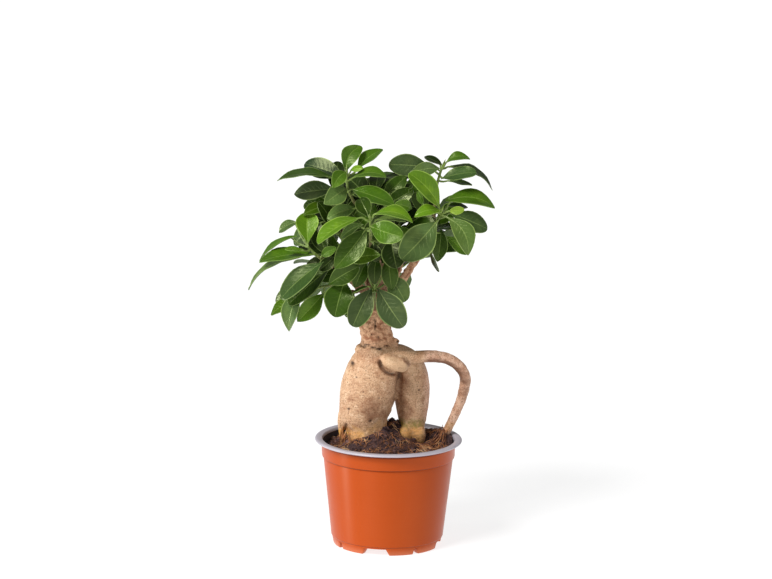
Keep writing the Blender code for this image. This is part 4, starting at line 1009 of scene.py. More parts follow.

# %% [markdown]
# ## The crown
#
# Each leafy shoot is one piece: a stem, the stalks along it, and the leaves. Where a leaf lies was read
# from the picture. A row gives the place of its base and then of its tip, each as (x, height,
# toward): millimetres beside and above the pot's middle as the picture shows them, and how far it
# stands towards the eye. The seen width, which comes next, tells how far the blade is turned, and a
# letter whether it is turned up, left or right. Then come its bow to that side in millimetres, its fold
# along the midrib in degrees, the name of its green, and the name of its outline. The same list made
# the plain solids, so the fine leaves land where those are.

# %% Shoots that the picture shows
SHOOTS = {
    "shoot_top_left": {
        "stem": [(-23, 273, 1), (-28.5, 284.5, 6), (-33, 295.5, 11), (-33.5, 306.5, 13)],
        "leaves": [
            (-34, 307, 13, -21.5, 328.5, 2, 14.5, "L", 4.5, 24, "grass", "oval"),
            (-34, 307.5, 15, -44.5, 295, 30, 12, "L", 1.5, 18, "bright", "pointed"),
            (-31, 309, 13, -20.5, 311, 16, 4, "U", 0.5, 14, "lime", "oval"),
            (-25.5, 309, 8, -4.5, 326, -4, 9.5, "L", 2, 16, "grass", "pointed"),
            (-30, 302, 14, -2, 304.5, 22, 8, "U", 3.5, 12, "bright", "oval"),
            (-35, 303.5, 5, -67.5, 314.5, -8, 17, "U", 1, 6, "brown", "round"),
            (-43, 302.5, 10, -89.5, 301, 12, 6.5, "U", 4, 10, "mid", "pointed"),
            (-43, 293.5, 4, -76, 289.5, -8, 15.5, "U", 0.5, 10, "steel", "pointed"),
            (-33.5, 294, 15, -51, 282, 34, 16, "U", 1, 14, "silver", "pointed"),
            (-30, 293.5, 15, 5, 280.5, 30, 14, "U", 1.5, 12, "grass", "pointed"),
            (-26, 278, 13, -49, 270, 24, 12, "U", 1, 14, "silver", "oval"),
            (-29.5, 292, 8, -3.5, 284.5, 14, 6.5, "U", 1, 8, "dark", "oval")]},
    "shoot_centre_front": {
        "stem": [(-12.5, 241, 17), (-14.5, 252, 30), (-14.5, 261.5, 43), (-15, 269, 52)],
        "leaves": [
            (-15.5, 270, 50, -23, 286.5, 38, 13, "L", 0, 22, "deep", "round"),
            (-11.5, 273, 53, 19.5, 267.5, 58, 9.5, "U", 4, 14, "lime", "pointed"),
            (-21.5, 270.5, 52, -57.5, 249.5, 66, 10.5, "U", 2.5, 18, "lime", "round"),
            (-15, 263.5, 57, 11, 254.5, 76, 18.5, "U", -1, 8, "grass", "round"),
            (-17.5, 261.5, 46, -43.5, 228.5, 58, 20, "L", 0, 12, "mid", "pointed"),
            (-20.5, 265, 38, -39, 253, 30, 8, "U", 1, 10, "slate", "oval"),
            (-10, 268.5, 42, 14, 268.5, 40, 5.5, "U", 1, 10, "light", "oval"),
            (2, 253.5, 32, 6.5, 229, 44, 20, "R", 0, 10, "dark", "round"),
            (-12.5, 250, 33, -9.5, 234, 38, 11.5, "R", 0, 12, "dark", "oval"),
            (-33.5, 235, 32, -7, 240, 44, 7.5, "U", 0.5, 14, "moss", "pointed")]},
    "shoot_low_front": {
        "stem": [(-10.5, 196, 11), (-11.5, 205, 20), (-11.5, 212.5, 24)],
        "leaves": [
            (-13.5, 212.5, 27, -29, 180.5, 37, 20, "L", 0, 14, "umber", "round"),
            (-9, 212.5, 27, 12, 180, 38, 22, "R", 0, 12, "steel", "round"),
            (0.5, 224, 22, 13.5, 201, 27, 18, "R", 0, 10, "ash", "round"),
            (-9.5, 239.5, 26, -11.5, 215.5, 32, 11.5, "L", 0, 14, "deep", "oval"),
            (-18, 234.5, 24, -27.5, 212.5, 28, 13, "L", 0, 14, "olive", "pointed"),
            (-0.5, 238, 24, 2.5, 210.5, 29, 14, "R", 0, 14, "olive", "pointed"),
            (-16.5, 214, 27, -28.5, 209, 31, 5, "U", 0, 14, "grass", "pointed")]},
    "shoot_low_left": {
        "stem": [(-27, 206.5, 14), (-36, 212.5, 19), (-47, 214.5, 19), (-57, 212.5, 17), (-66, 212, 15)],
        "leaves": [
            (-28, 208, 16, -33.5, 188, 22, 13, "L", 0, 10, "olive", "round"),
            (-49, 215, 28, -24, 230, 38, 16, "U", 0, 12, "olive", "oval"),
            (-35, 219, 20, -43.5, 188.5, 33, 25, "L", 0, 10, "mid", "oval"),
            (-52.5, 208, 17, -74, 184.5, 22, 15.5, "U", 0, 14, "bright", "pointed"),
            (-71, 212.5, 15, -81.5, 176.5, 20, 15.5, "L", 2.5, 16, "grey", "pointed"),
            (-75, 205, 8, -96, 190.5, 6, 9, "U", 0, 12, "moss", "pointed")]},
    "shoot_left": {
        "stem": [(-47.5, 231.5, 12.5), (-57, 238.5, 16), (-63.5, 244.5, 18), (-65.5, 248, 17)],
        "leaves": [
            (-65, 247.5, 20, -65, 275, 6, 18.5, "L", 0, 22, "lime", "obovate"),
            (-73, 266.5, 8, -88.5, 258, 2, 7.5, "U", 1.5, 14, "grey", "pointed"),
            (-74, 255.5, 14, -104.5, 235, 8, 4, "U", 3, 12, "grass", "oval"),
            (-60, 240, 20, -104.5, 234, 30, 10.5, "U", 2, 12, "grass", "pointed"),
            (-69, 243.5, 27, -83.5, 244.5, 31, 4, "U", 0, 14, "bright", "oval"),
            (-79, 236, 12, -113.5, 211, 4, 4, "U", 5.5, 10, "silver", "oval"),
            (-52.5, 234, 28, -87.5, 204, 36, 17, "U", 2, 8, "leek", "round"),
            (-46.5, 230, 20, -81.5, 199, 20, 14, "U", 0, 12, "deep", "oval"),
            (-64.5, 215.5, 8, -92, 201, 0, 10.5, "U", 0, 10, "ash", "oval"),
            (-54.5, 238, 20, -42.5, 245.5, 26, 8, "U", 1, 16, "grass", "oval"),
            (-49.5, 238.5, 14, -61, 267.5, 2, 14, "L", 0, 12, "deep", "oval"),
            (-43, 238, 20, -55.5, 227, 26, 10.5, "U", 0, 12, "dark", "oval")]},
    "shoot_left_upper": {
        "stem": [(-33.5, 249.5, -24), (-39, 262.5, -19), (-44.5, 275.5, -12), (-45, 285.5, -8)],
        "leaves": [
            (-46.5, 279.5, -2, -68.5, 273, 8, 9.5, "U", 1, 20, "moss", "pointed"),
            (-48.5, 284, -10, -68.5, 279, -16, 9, "U", 1, 10, "olive", "round"),
            (-44, 290.5, -10, -40, 316.5, -24, 14.5, "L", 0, 8, "dark", "round"),
            (-53.5, 266.5, -8, -76.5, 248, -16, 14, "U", 1, 10, "leek", "oval")]},
    "shoot_upper_middle": {
        "stem": [(-11.5, 252.5, 0), (-6, 264, 0), (0, 279, 3), (6, 287, 6)],
        "leaves": [
            (19, 277.5, 16, 6, 282, 26, 10.5, "U", 1, 14, "bright", "oval"),
            (7.5, 285.5, 7, -2, 300, -6, 16, "L", 0, 12, "olive", "round"),
            (9.5, 286.5, 9, 19, 298, 2, 8, "L", 0, 18, "deep", "oval"),
            (-3, 287, 2, -11, 300, -6, 11.5, "L", 0, 10, "slate", "oval"),
            (11.5, 290.5, 0, 28.5, 301, -14, 13, "U", 0, 10, "grass", "oval"),
            (-14, 284, -4, -22, 303, -16, 14, "L", 0, 10, "deep", "oval")]},
    "shoot_top_right": {
        "stem": [(35.5, 262.5, -4), (37, 277.5, -6), (38.5, 294.5, -6), (41.5, 306.5, 0), (43.5, 312, 3)],
        "leaves": [
            (35, 311, -2, 0, 313.5, -8, 18.5, "U", 1, 6, "umber", "round"),
            (22, 303, -6, -2.5, 304, -10, 5.5, "U", 0.5, 10, "dark", "oval"),
            (41.5, 310.5, 3, 19.5, 308, 10, 11.5, "U", 1, 10, "ash", "oval"),
            (46, 315, 6, 65.5, 318.5, 6, 7, "U", 4, 12, "grass", "pointed"),
            (42, 302, 7, 70.5, 307.5, 12, 10.5, "U", 1, 10, "leek", "round"),
            (48, 312, 0, 84.5, 294, -6, 5.5, "U", 5.5, 10, "deep", "pointed"),
            (48, 300.5, -2, 67.5, 297.5, -4, 4, "U", 0, 10, "mid", "pointed"),
            (43.5, 313, 0, 29, 320.5, -8, 5.5, "U", 0, 12, "dark", "oval")]},
    "shoot_right": {
        "stem": [(28.5, 244.5, 4), (34.5, 256, 17), (40.5, 270.5, 18), (42.5, 275, 22)],
        "leaves": [
            (41.5, 277.5, 25, 16.5, 306.5, 36, 15.5, "R", 2.5, 16, "lime", "round"),
            (48, 275.5, 25, 61, 277, 27, 6.5, "U", 0, 10, "young", "round"),
            (42.5, 275, 28, 21, 271.5, 34, 9, "U", 2.5, 12, "lime", "pointed"),
            (28.5, 280, 22, 23.5, 291.5, 18, 5, "L", 0, 16, "grass", "oval"),
            (45.5, 284, 12, 86, 279.5, 8, 13, "U", 5.5, 8, "bright", "pointed"),
            (46, 280, 8, 64, 279, 2, 5, "U", 0.5, 8, "dark", "oval"),
            (39, 267.5, 28, 10.5, 236, 44, 26, "R", 1, 8, "ash", "round"),
            (47.5, 270.5, 24, 64.5, 239.5, 34, 17, "R", 5, 10, "light", "pointed"),
            (49.5, 274, 12, 80, 261, 4, 15.5, "U", 1, 6, "grey", "round"),
            (42.5, 261, 14, 39.5, 234, 20, 13, "R", 0, 10, "olive", "pointed"),
            (46.5, 255, 6, 63.5, 240, 2, 9.5, "U", 0, 14, "bright", "pointed"),
            (33.5, 243, 8, 40.5, 225.5, 10, 3, "L", 0, 10, "dark", "pointed"),
            (7, 264, 30, 15.5, 249, 34, 13, "R", 0, 10, "grass", "round")]},
}

# %% [markdown]
# The back and the inside of the crown don't show, so their leaves follow a rule instead: each next leaf
# is set a golden angle round its stem from the last one, as many plants do, and is turned until its tip
# stays inside the crown's outline.

# %% Shoots that the picture hides
BACKWARD, FORWARD = Vector((0, 0.5, 1.0)), Vector((0, -1.0, 0.75))
HIDDEN_SHOOTS = {                  # first point, last point, how many leaves, and what they face
    "shoot_back_left": ((-39, 261, -36), (-56, 270, -54), 10, BACKWARD),
    "shoot_back_middle": ((-15, 254, -5), (-14, 290, -38), 10, BACKWARD),
    "shoot_back_right": ((13.5, 252, -36), (29, 270, -54), 10, BACKWARD),
    "shoot_back_low": ((6, 230, -25), (2, 230, -50), 9, BACKWARD),
    "shoot_back_side": ((24, 240, -8), (42, 252, -34), 8, BACKWARD),
    "shoot_back_corner": ((-29, 226, -29), (-46, 226, -54), 8, BACKWARD),
    "shoot_inner_left": ((-31, 220, 6), (-44, 262, -2), 18, FORWARD),
    "shoot_inner_middle": ((-9, 238, -4), (4, 262, -10), 18, FORWARD),
    "shoot_inner_right": ((16, 229, -7), (32, 268, -16), 20, FORWARD),
    "shoot_inner_top": ((-15, 252, 3), (-16, 286, 8), 18, FORWARD),
    "shoot_inner_low": ((-24, 219, 6), (-29, 232, 2), 11, FORWARD),
}
HIDDEN_LEAF_LENGTH = (27.0, 40.0)
HIDDEN_LEAF_BREADTH = (0.47, 0.57)    # width over length
HIDDEN_LEAF_ARCH = (2, 4)
HIDDEN_TRIES = 7                   # how often a leaf is turned away before it is given up
HIDDEN_STALK = 8.0
HIDDEN_TOWARD = 12.0               # nearest that such a leaf's tip comes to the viewer
AWAY = Vector((0, 1, 0))
GOLDEN_ANGLE = math.radians(137.5)
CROWN_OUTLINE = [(-74, 262), (-66, 290), (-44, 304), (-4, 309), (34, 312), (62, 298), (72, 272), (66, 248),
                 (40, 241), (10, 232), (12, 206), (-12, 196), (-50, 192), (-84, 204), (-78, 240)]
print(sum(len(shoot["leaves"]) for shoot in SHOOTS.values()), "leaves seen,",
      sum(shoot[2] for shoot in HIDDEN_SHOOTS.values()), "tried behind them")

# %% [markdown]
# ## From the picture to a place
#
# A picture gives no depth, so each place is found on the line of sight from the eye through (x, height)
# above the pot's axis, and then moved along that line towards the viewer.

# %% Places on the line of sight
SIGHT = Vector((0.0, -2800.0, 786.0))
RIM_LEVEL = 86.0
GAP = 0.35 * MM
BLADE_THICK = 0.75 * MM
BLADE_RATIO = 0.5
STALK_RADIUS = 0.7 * MM
STEM_RADIUS, STEM_TIP_RADIUS = 1.6 * MM, 0.95 * MM
SEAT_RUN, SEAT_STRAIGHT = 4.0 * MM, 1.5 * MM
FULL_ROWS, FULL_ACROSS = [-1.0, 0.0, 0.16, 0.41, 0.69, 0.92, 1.0], (-1.0, 0.0, 1.0)
FEWER_ROWS, INNER_ACROSS = [-1.0, 0.0, 0.22, 0.55, 0.88, 1.0], (-1.0, 1.0)
SHORT_LEAF = 33 * MM
SIDEWAYS_STALK, DOUBLED_BACK, SIDE_STALK_REACH = 0.75, 0.35, 0.13
STALK_SET_BACK = 2.5 * MM
STEM_SAMPLES = 60                  # places tried along a stem for the foot of a stalk
BLADE_CLEAR = 1.0 * MM
FOLD = math.radians(10.0)
ARCH_SHARE = 0.06


def on_sight(x, height, toward):
    """The point on the line from the eye through (x, height) above the pot's axis, moved to the viewer."""
    on_plane = Vector((x, 0.0, height))
    return (on_plane + (SIGHT - on_plane).normalized() * toward) * MM


def as_pictured(x, height, toward):
    """The same for a place read in the picture, which is turned a little about the rim's middle."""
    c, s = math.cos(PICTURE_TURN), math.sin(PICTURE_TURN)
    up = height - RIM_LEVEL
    return on_sight(x * c - up * s, RIM_LEVEL + up * c + x * s, toward)


def route_point(route, distance):
    """The point at a distance along a stem."""
    for a, b in zip(route, route[1:]):
        span = (b - a).length
        if distance <= span:
            return a.lerp(b, distance / span)
        distance -= span
    return route[-1]


def route_length(route):
    return sum((b - a).length for a, b in zip(route, route[1:]))


def stalk_foot(route, place):
    """The point of a stem that a leaf's stalk grows from: the nearest, or a little lower down the stem."""
    spots = [route_length(route) * i / STEM_SAMPLES for i in range(STEM_SAMPLES + 1)]
    best = min(spots, key=lambda spot: (route_point(route, spot) - place).length)
    return route_point(route, max(SEAT_RUN + STEM_RADIUS, best - STALK_SET_BACK))


def stem_route(points, pictured, wood):
    """A stem's smooth route, its foot set square on the nearest wood with a small gap."""
    place = as_pictured if pictured else on_sight
    aimed = [place(*point) for point in points]
    seat, outward, _, _ = wood.find_nearest(aimed[0])
    foot = seat + outward * GAP
    return [foot] + smooth_route([foot + outward * SEAT_STRAIGHT] + aimed[1:], 2, leaving=outward)

# %% [markdown]
# ## A blade
#
# A leaf of this plant is an oval, drawn in at its base and blunt at its tip, folded a little along its
# midrib and arched along its length. The class answers one question: where is the point that lies this
# far along the blade and this far across it? The plain solid asks it at a few places, the fine leaf at
# many.

# %% Blade
def blade_width(along):
    """Half width of a blade over its greatest half width: drawn in at the base, blunt at the tip."""
    return math.sin(math.pi * along ** 1.18) ** (0.95 - 0.35 * along) if 0.0 < along < 1.0 else 0.0


class Blade:
    """One leaf: a point for each place (along, across), 0 to 1 along the blade, -1 to 0 on its stalk."""

    def __init__(self, foot, base, tip, width, normal, bow, fold, rows, places):
        self.foot, self.base, self.tip, self.width = foot, base, tip, width
        self.bow, self.fold, self.rows, self.places = bow, fold, rows, places
        self.axis = (tip - base).normalized()
        self.normal = (normal - self.axis * normal.dot(self.axis)).normalized()
        self.side = self.axis.cross(self.normal)
        along_stalk = (base - foot).normalized()
        self.from_side = (abs(along_stalk.dot(self.side)) > SIDEWAYS_STALK
                          or along_stalk.dot(self.axis) < DOUBLED_BACK)
        self.stalk_end = self.point(SIDE_STALK_REACH, 0.0) if self.from_side else base

    def point(self, along, across, lift=0.0):
        if along < 0:
            return self.base.lerp(self.foot, -along) + self.side * STALK_RADIUS * across + self.normal * lift
        half = max(self.width / 2 * blade_width(along), STALK_RADIUS) * across
        middle = self.base + (self.tip - self.base) * along + self.bow * 4 * along * (1 - along)
        rise = abs(half) * math.sin(self.fold) + lift
        return middle + self.side * half * math.cos(self.fold) + self.normal * rise

    def sheet(self, lift, first=1):
        """Points and triangles of the blade from a station on, raised by lift."""
        points, faces, rows = [], [], []
        for along in self.rows[first:]:
            row = []
            for across in ((0.0,) if along == 1.0 else (-1.0, 1.0) if along < 0 else self.places):
                row.append(len(points))
                points.append(self.point(along, across, lift))
            rows.append(row)
        for low, high in zip(rows, rows[1:]):
            steps = max(len(low), len(high)) - 1
            low = [low[i * (len(low) - 1) // steps] for i in range(steps + 1)]
            high = [high[i * (len(high) - 1) // steps] for i in range(steps + 1)]
            for i in range(steps):
                for corners in ((low[i], low[i + 1], high[i + 1]), (low[i], high[i + 1], high[i])):
                    if len(set(corners)) == 3:
                        faces.append(corners)
        return points, faces

    def slab(self, half):
        """The closed slab between the blade raised and lowered by half a thickness."""
        points, faces = self.sheet(half)
        count = len(points)
        edges = {(a, b) for face in faces for a, b in zip(face, face[1:] + face[:1])}
        rim = [(a, b) for a, b in sorted(edges) if (b, a) not in edges]
        walls = [(a, b, count + b) for a, b in rim] + [(a, count + b, count + a) for a, b in rim]
        under = [tuple(count + i for i in face) for face in faces]
        return points + self.sheet(-half)[0], faces + under + walls

# %% [markdown]
# A leaf seen narrower than its real width must be turned about its length. The real width is taken as at
# least half of the length, and the turn is the one that makes it look as narrow as the picture shows.

# %% Blades from the picture
def leaf_blade(route, base, tip, seen, side, bow, fold):
    """A blade from a leaf's places in the picture: its width and tilt follow the width that is seen."""
    start, end = as_pictured(*base), as_pictured(*tip)
    foot = stalk_foot(route, start)
    axis = (end - start).normalized()
    to_eye = (SIGHT * MM - start).normalized()
    to_eye = (to_eye - axis * to_eye.dot(axis)).normalized()
    beside = axis.cross(to_eye)
    wanted = {"U": Vector((0, 0, 1)), "L": Vector((-1, 0, 0)), "R": Vector((1, 0, 0))}[side]
    if beside.dot(wanted) < 0:
        beside = -beside
    fold, length = math.radians(fold), (end - start).length
    width = max(seen * MM / math.cos(fold), BLADE_RATIO * length)
    tilt = math.acos(min(1.0, seen * MM / (width * math.cos(fold))))
    normal = to_eye * math.cos(tilt) + beside * math.sin(tilt)
    bowed = beside * bow * MM + to_eye * ARCH_SHARE * length * math.cos(tilt)
    rows = FULL_ROWS if length > SHORT_LEAF else FEWER_ROWS
    return Blade(foot, start, end, width, normal, bowed, fold, rows, FULL_ACROSS)


def turned(blade, toward, turn):
    """The same blade with its tip moved to the viewer and turned about its own length."""
    to_eye = (SIGHT * MM - blade.base).normalized()
    base = blade.base + to_eye * toward * 0.5
    tip = blade.tip + to_eye * toward
    return Blade(blade.foot, base, tip, blade.width, Matrix.Rotation(turn, 3, blade.axis) @ blade.normal,
                 blade.bow, blade.fold, blade.rows, blade.places)

# %% [markdown]
# ## Laying the leaves clear of each other
#
# Real leaves push each other aside. Each blade is tried where it was read, and then with small moves
# to and from the viewer and small turns about its own length, until it is clear of all that was laid
# before. A tree of triangles makes each of these tests quick.

# %% Moves to try
STEPS_TRIED, STEP_LENGTH = 13, 2.0 * MM
TURNS_TRIED = (0, 10, -10, 20, -20, 32, -32)    # degrees
HIDDEN_TINTS = ["deep", "deep", "dark", "mid", "slate", "olive"]


def strip(start, end, half):
    """Two crossed ribbons along a stalk, which stand for it when leaves are laid clear of each other."""
    axis = (end - start).normalized()
    across = axis.orthogonal().normalized()
    points, faces = [], []
    for side in (across, axis.cross(across)):
        first = len(points)
        points += [start - side * half, start + side * half, end + side * half, end - side * half]
        faces += [(first, first + 1, first + 2), (first, first + 2, first + 3)]
    return points, faces

# %% [markdown]
# The crown keeps a list of what has been laid. Before two trees are compared triangle by triangle, their
# middles and reaches tell whether they can meet at all, which skips nearly all of the work.

# %% Clear of each other
class Crown:
    """What has been laid so far, so that the next leaf is bent clear of it."""

    def __init__(self, wood):
        self.laid = []
        self.wood = wood

    def add(self, sheet, owner):
        """Keeps a laid sheet as a tree of triangles with its middle and reach."""
        points, faces = sheet
        middle = sum(points, Vector()) / len(points)
        reach = max((point - middle).length for point in points)
        self.laid.append((middle, reach, BVHTree.FromPolygons(points, faces), owner))

    def clear(self, sheet, skip=None):
        """Whether a sheet crosses neither the wood nor anything laid, apart from what skip owns."""
        points, faces = sheet
        middle = sum(points, Vector()) / len(points)
        reach = max((point - middle).length for point in points)
        tree = BVHTree.FromPolygons(points, faces)
        if tree.overlap(self.wood):
            return False
        for other_middle, other_reach, other, owner in self.laid:
            if owner != skip and (middle - other_middle).length < reach + other_reach:
                if tree.overlap(other):
                    return False
        return True

    def lay(self, blade, stem_name):
        """The first small move of the blade that leaves it clear of everything laid before, or None."""
        for step in range(STEPS_TRIED):
            for sign in ((1,) if step == 0 else (1, -1)):
                for turn in TURNS_TRIED:
                    tried = turned(blade, sign * step * STEP_LENGTH, math.radians(turn))
                    stalk = strip(tried.foot, tried.stalk_end, STALK_RADIUS * 1.5)
                    if self.clear(tried.slab(BLADE_CLEAR)) and self.clear(stalk, stem_name):
                        self.add(tried.slab(BLADE_THICK / 2), "blade")
                        self.add(stalk, stem_name)
                        return tried
        return None

# %% [markdown]
# A hidden leaf may not stick out of the crown's outline, which was read from the picture as a ring of
# places. The test counts how often a level line from the point crosses that ring.

# %% Leaves that the picture hides
def in_crown(point):
    """Whether a point shows inside the crown's outline from the eye."""
    depth = SIGHT.y * MM / (SIGHT.y * MM - point.y)
    x, z = point.x * depth / MM, (SIGHT.z * MM + (point.z - SIGHT.z * MM) * depth) / MM
    inside = False
    for (ax, az), (bx, bz) in zip(CROWN_OUTLINE, CROWN_OUTLINE[1:] + CROWN_OUTLINE[:1]):
        if (az > z) != (bz > z) and x < ax + (bx - ax) * (z - az) / (bz - az):
            inside = not inside
    return inside


def hidden_leaves(name, route, count, face):
    """Leaves set round a stem by the golden angle, each turned away from the picture's plane to stay in."""
    draw = random.Random(name)
    leaves = []
    for number in range(count):
        share = 0.22 + 0.78 * number / (count - 1)
        foot = route_point(route, share * (route_length(route) - 1.0 * MM))
        run = (route[-1] - route[0]).normalized()
        across = run.orthogonal().normalized()
        around = Matrix.Rotation(number * GOLDEN_ANGLE + draw.uniform(-0.3, 0.3), 3, run) @ across
        out = (around + run * (0.2 + 0.8 * share) + Vector((0, 0, -0.12))).normalized()
        length = draw.uniform(*HIDDEN_LEAF_LENGTH) * MM
        width = length * draw.uniform(*HIDDEN_LEAF_BREADTH)
        arch = draw.uniform(*HIDDEN_LEAF_ARCH) * MM
        facing = (face + out * 0.25).normalized()
        for _ in range(HIDDEN_TRIES):
            base = foot + out * HIDDEN_STALK * MM
            tip = base + out * length
            if in_crown(tip) and tip.y > -HIDDEN_TOWARD * MM:
                break
            out = (out + AWAY * 0.3).normalized()
        else:
            continue
        leaves.append(Blade(foot, base, tip, width, facing, facing * arch, FOLD, FEWER_ROWS, INNER_ACROSS))
    return leaves

# %% [markdown]
# Everything is now laid in a fixed order, visible shoots first, so that the hidden leaves give way to
# the visible ones.

# %% Lay the crown
def lay_crown(wood):
    """Every shoot's stem route and its leaves (blade and foot of the stalk), laid clear of each other."""
    crown = Crown(wood)
    routes = {name: stem_route(shoot["stem"], True, wood) for name, shoot in SHOOTS.items()}
    routes.update({name: stem_route((first, last), False, wood)
                   for name, (first, last, _, _) in HIDDEN_SHOOTS.items()})
    for name, route in routes.items():
        for a, b in zip(route, route[1:]):
            crown.add(strip(a, b, STEM_RADIUS), name)
    laid = {}
    for name, shoot in SHOOTS.items():
        laid[name] = []
        for leaf in shoot["leaves"]:
            placed = crown.lay(leaf_blade(routes[name], leaf[0:3], leaf[3:6], *leaf[6:10]), name)
            if placed:
                placed.tint, placed.outline = leaf[10:12]
                laid[name].append(placed)
    for name, (_, _, count, face) in HIDDEN_SHOOTS.items():
        laid[name] = []
        draw = random.Random(name + " greens")
        for blade in hidden_leaves(name, routes[name], count, face):
            placed = crown.lay(blade, name)
            if placed:
                placed.tint, placed.outline = draw.choice(HIDDEN_TINTS), "oval"
                laid[name].append(placed)
    return routes, laid


routes, laid = lay_crown(wood_tree)
print(sum(len(leaves) for leaves in laid.values()), "leaves laid")

# %% [markdown]
# ## A fine leaf
#
# One leaf is modelled flat: a grid, drawn closer together at its ends and beside its midrib, then given
# a wall. It keeps its UV map, which tells the finish how far along and across the blade a place is. A
# second, coarser one does for leaves that the picture hides. Each copy is then laid on its own blade.

# %% Leaf patterns
LEAF_WALL = 0.55                   # thickness in millimetres
MIDRIB_CROWDING = 1.35             # over 1 draws the columns to the midrib


def leaf_pattern(name, columns, rows):
    """A flat leaf over the square from -1 to 1, its columns and rows crowded, with a wall."""
    bpy.ops.object.select_all(action="DESELECT")
    bpy.ops.mesh.primitive_grid_add(x_subdivisions=columns, y_subdivisions=rows, size=2.0)
    pattern = bpy.context.active_object
    pattern.name = name
    for vert in pattern.data.vertices:
        vert.co.x = math.copysign(abs(vert.co.x) ** MIDRIB_CROWDING, vert.co.x)
        vert.co.y = math.sin(math.pi / 2 * vert.co.y)
    for corner, uv in zip(pattern.data.loops, pattern.data.uv_layers[0].data):
        place = pattern.data.vertices[corner.vertex_index].co
        uv.uv = ((place.x + 1) / 2, (place.y + 1) / 2)
    apply_modifier(pattern, "SOLIDIFY", thickness=LEAF_WALL, offset=0.0)
    print(name, len(pattern.data.polygons), "faces")
    return pattern


fine_pattern = leaf_pattern("fine_leaf_pattern", 10, 14)
plain_pattern = leaf_pattern("plain_leaf_pattern", 6, 9)

# %% [markdown]
# No two leaves are alike: each gets its own margin wave, twist, droop of the tip and sideways sweep,
# drawn from a seed that is its own name. On the upper side the midrib lies in a groove, on the lower
# side it stands out as a rib.

# %% One leaf on its blade
MIDRIB_HALF = 0.9 * MM
MIDRIB_SINK, MIDRIB_RIB = 0.22 * MM, 0.35 * MM
LEAF_END = 0.25 * MM               # half width of the very tip
# Leaf greens by name; the greyish ones (grey, steel, slate, ash, silver) hold painted sheen, the waxy leaves'
# glare mixed into their colour
GREENS = {
    "lime": (0.139, 0.290, 0.0123), "young": (0.224, 0.357, 0.0285), "bright": (0.087, 0.196, 0.0094),
    "light": (0.084, 0.148, 0.0301), "grass": (0.065, 0.154, 0.0079), "mid": (0.042, 0.098, 0.0069),
    "moss": (0.054, 0.120, 0.0015), "olive": (0.030, 0.074, 0.0038), "leek": (0.052, 0.106, 0.0249),
    "deep": (0.018, 0.045, 0.0021), "dark": (0.009, 0.024, 0.0016), "grey": (0.068, 0.123, 0.0331),
    "steel": (0.062, 0.097, 0.0357), "slate": (0.035, 0.071, 0.0091), "ash": (0.100, 0.169, 0.0472),
    "umber": (0.049, 0.086, 0.0266), "brown": (0.013, 0.035, 0.0150), "silver": (0.139, 0.240, 0.0554)}
# How far towards the tip a leaf is broadest, and how blunt its tip is, for each outline
OUTLINES = {"pointed": (1.08, 0.22), "oval": (1.18, 0.36), "round": (1.22, 0.50), "obovate": (1.55, 0.40)}


class LeafHabit:
    """How one leaf departs from the even blade."""

    def __init__(self, name, blade):
        draw = random.Random(name)
        size = min(1.0, blade.width / (16 * MM))
        self.broadest, self.blunt = OUTLINES[blade.outline]
        self.blunt += draw.uniform(-0.05, 0.05)
        self.wave = draw.uniform(0.15, 0.55) * MM * size
        self.waves = draw.uniform(1.2, 2.4)
        self.start = draw.uniform(0, 6.3)
        self.twist = math.radians(draw.uniform(-7, 7)) * size
        self.droop = draw.uniform(0.2, 1.6) * MM * size
        self.sweep = draw.uniform(-0.9, 0.9) * MM * size
        self.shade = draw.uniform(0.86, 1.14)

    def place(self, blade, along, across, lift):
        """The point of the leaf, lift metres over the middle of its wall."""
        swell = math.sin(math.pi * along ** self.broadest) if 0 < along < 1 else 0.0
        share = swell ** (0.95 - self.blunt * along)
        half = max(blade.width / 2 * share, LEAF_END) * across
        spread = abs(half) * math.cos(blade.fold)
        cup = math.sqrt(half * half + MIDRIB_HALF ** 2) - MIDRIB_HALF
        rise = cup * math.sin(blade.fold) + lift
        rise += self.wave * across * across * math.sin(2 * math.pi * self.waves * along + self.start + across)
        rise += half * math.sin(self.twist * (along - 0.4)) - self.droop * along ** 5
        rib = math.exp(-(half / MIDRIB_HALF) ** 2) * (1 - 0.7 * along)
        rise -= rib * (MIDRIB_SINK if lift > 0 else MIDRIB_RIB)
        beside = math.copysign(spread, half) + self.sweep * 4 * along * (1 - along)
        middle = blade.base + (blade.tip - blade.base) * along + blade.bow * 4 * along * (1 - along)
        return middle + blade.side * beside + blade.normal * rise


def leaf_attributes(piece):
    """The two attributes of leaves and stems: their green, and whether a point is on the underside."""
    piece.data.attributes.new("tint", "FLOAT_COLOR", "POINT")
    piece.data.attributes.new("under", "FLOAT", "POINT")
    return piece.data.attributes["tint"], piece.data.attributes["under"]


def lay_leaf(name, blade, pattern):
    """A copy of the pattern with its own mesh, laid on a blade and told its green."""
    leaf = bpy.data.objects.new(name, pattern.data.copy())
    bpy.context.scene.collection.objects.link(leaf)
    habit = LeafHabit(name, blade)
    tint, under = leaf_attributes(leaf)
    green = [part * habit.shade for part in GREENS[blade.tint]]
    for vert in leaf.data.vertices:
        across, run, lift = vert.co
        under.data[vert.index].value = 1.0 if lift < 0 else 0.0
        tint.data[vert.index].color = (*green, 1.0)
        vert.co = habit.place(blade, (run + 1) / 2, across, lift * MM)
    return leaf

# %% [markdown]
# The leaf finish reads the UV map: a pale midrib that thins to the tip, faint side veins that slant
# forward, and a thin pale margin. Between the veins the blade is a little raised, which breaks up its
# waxy gloss. The lower side is paler and matt.

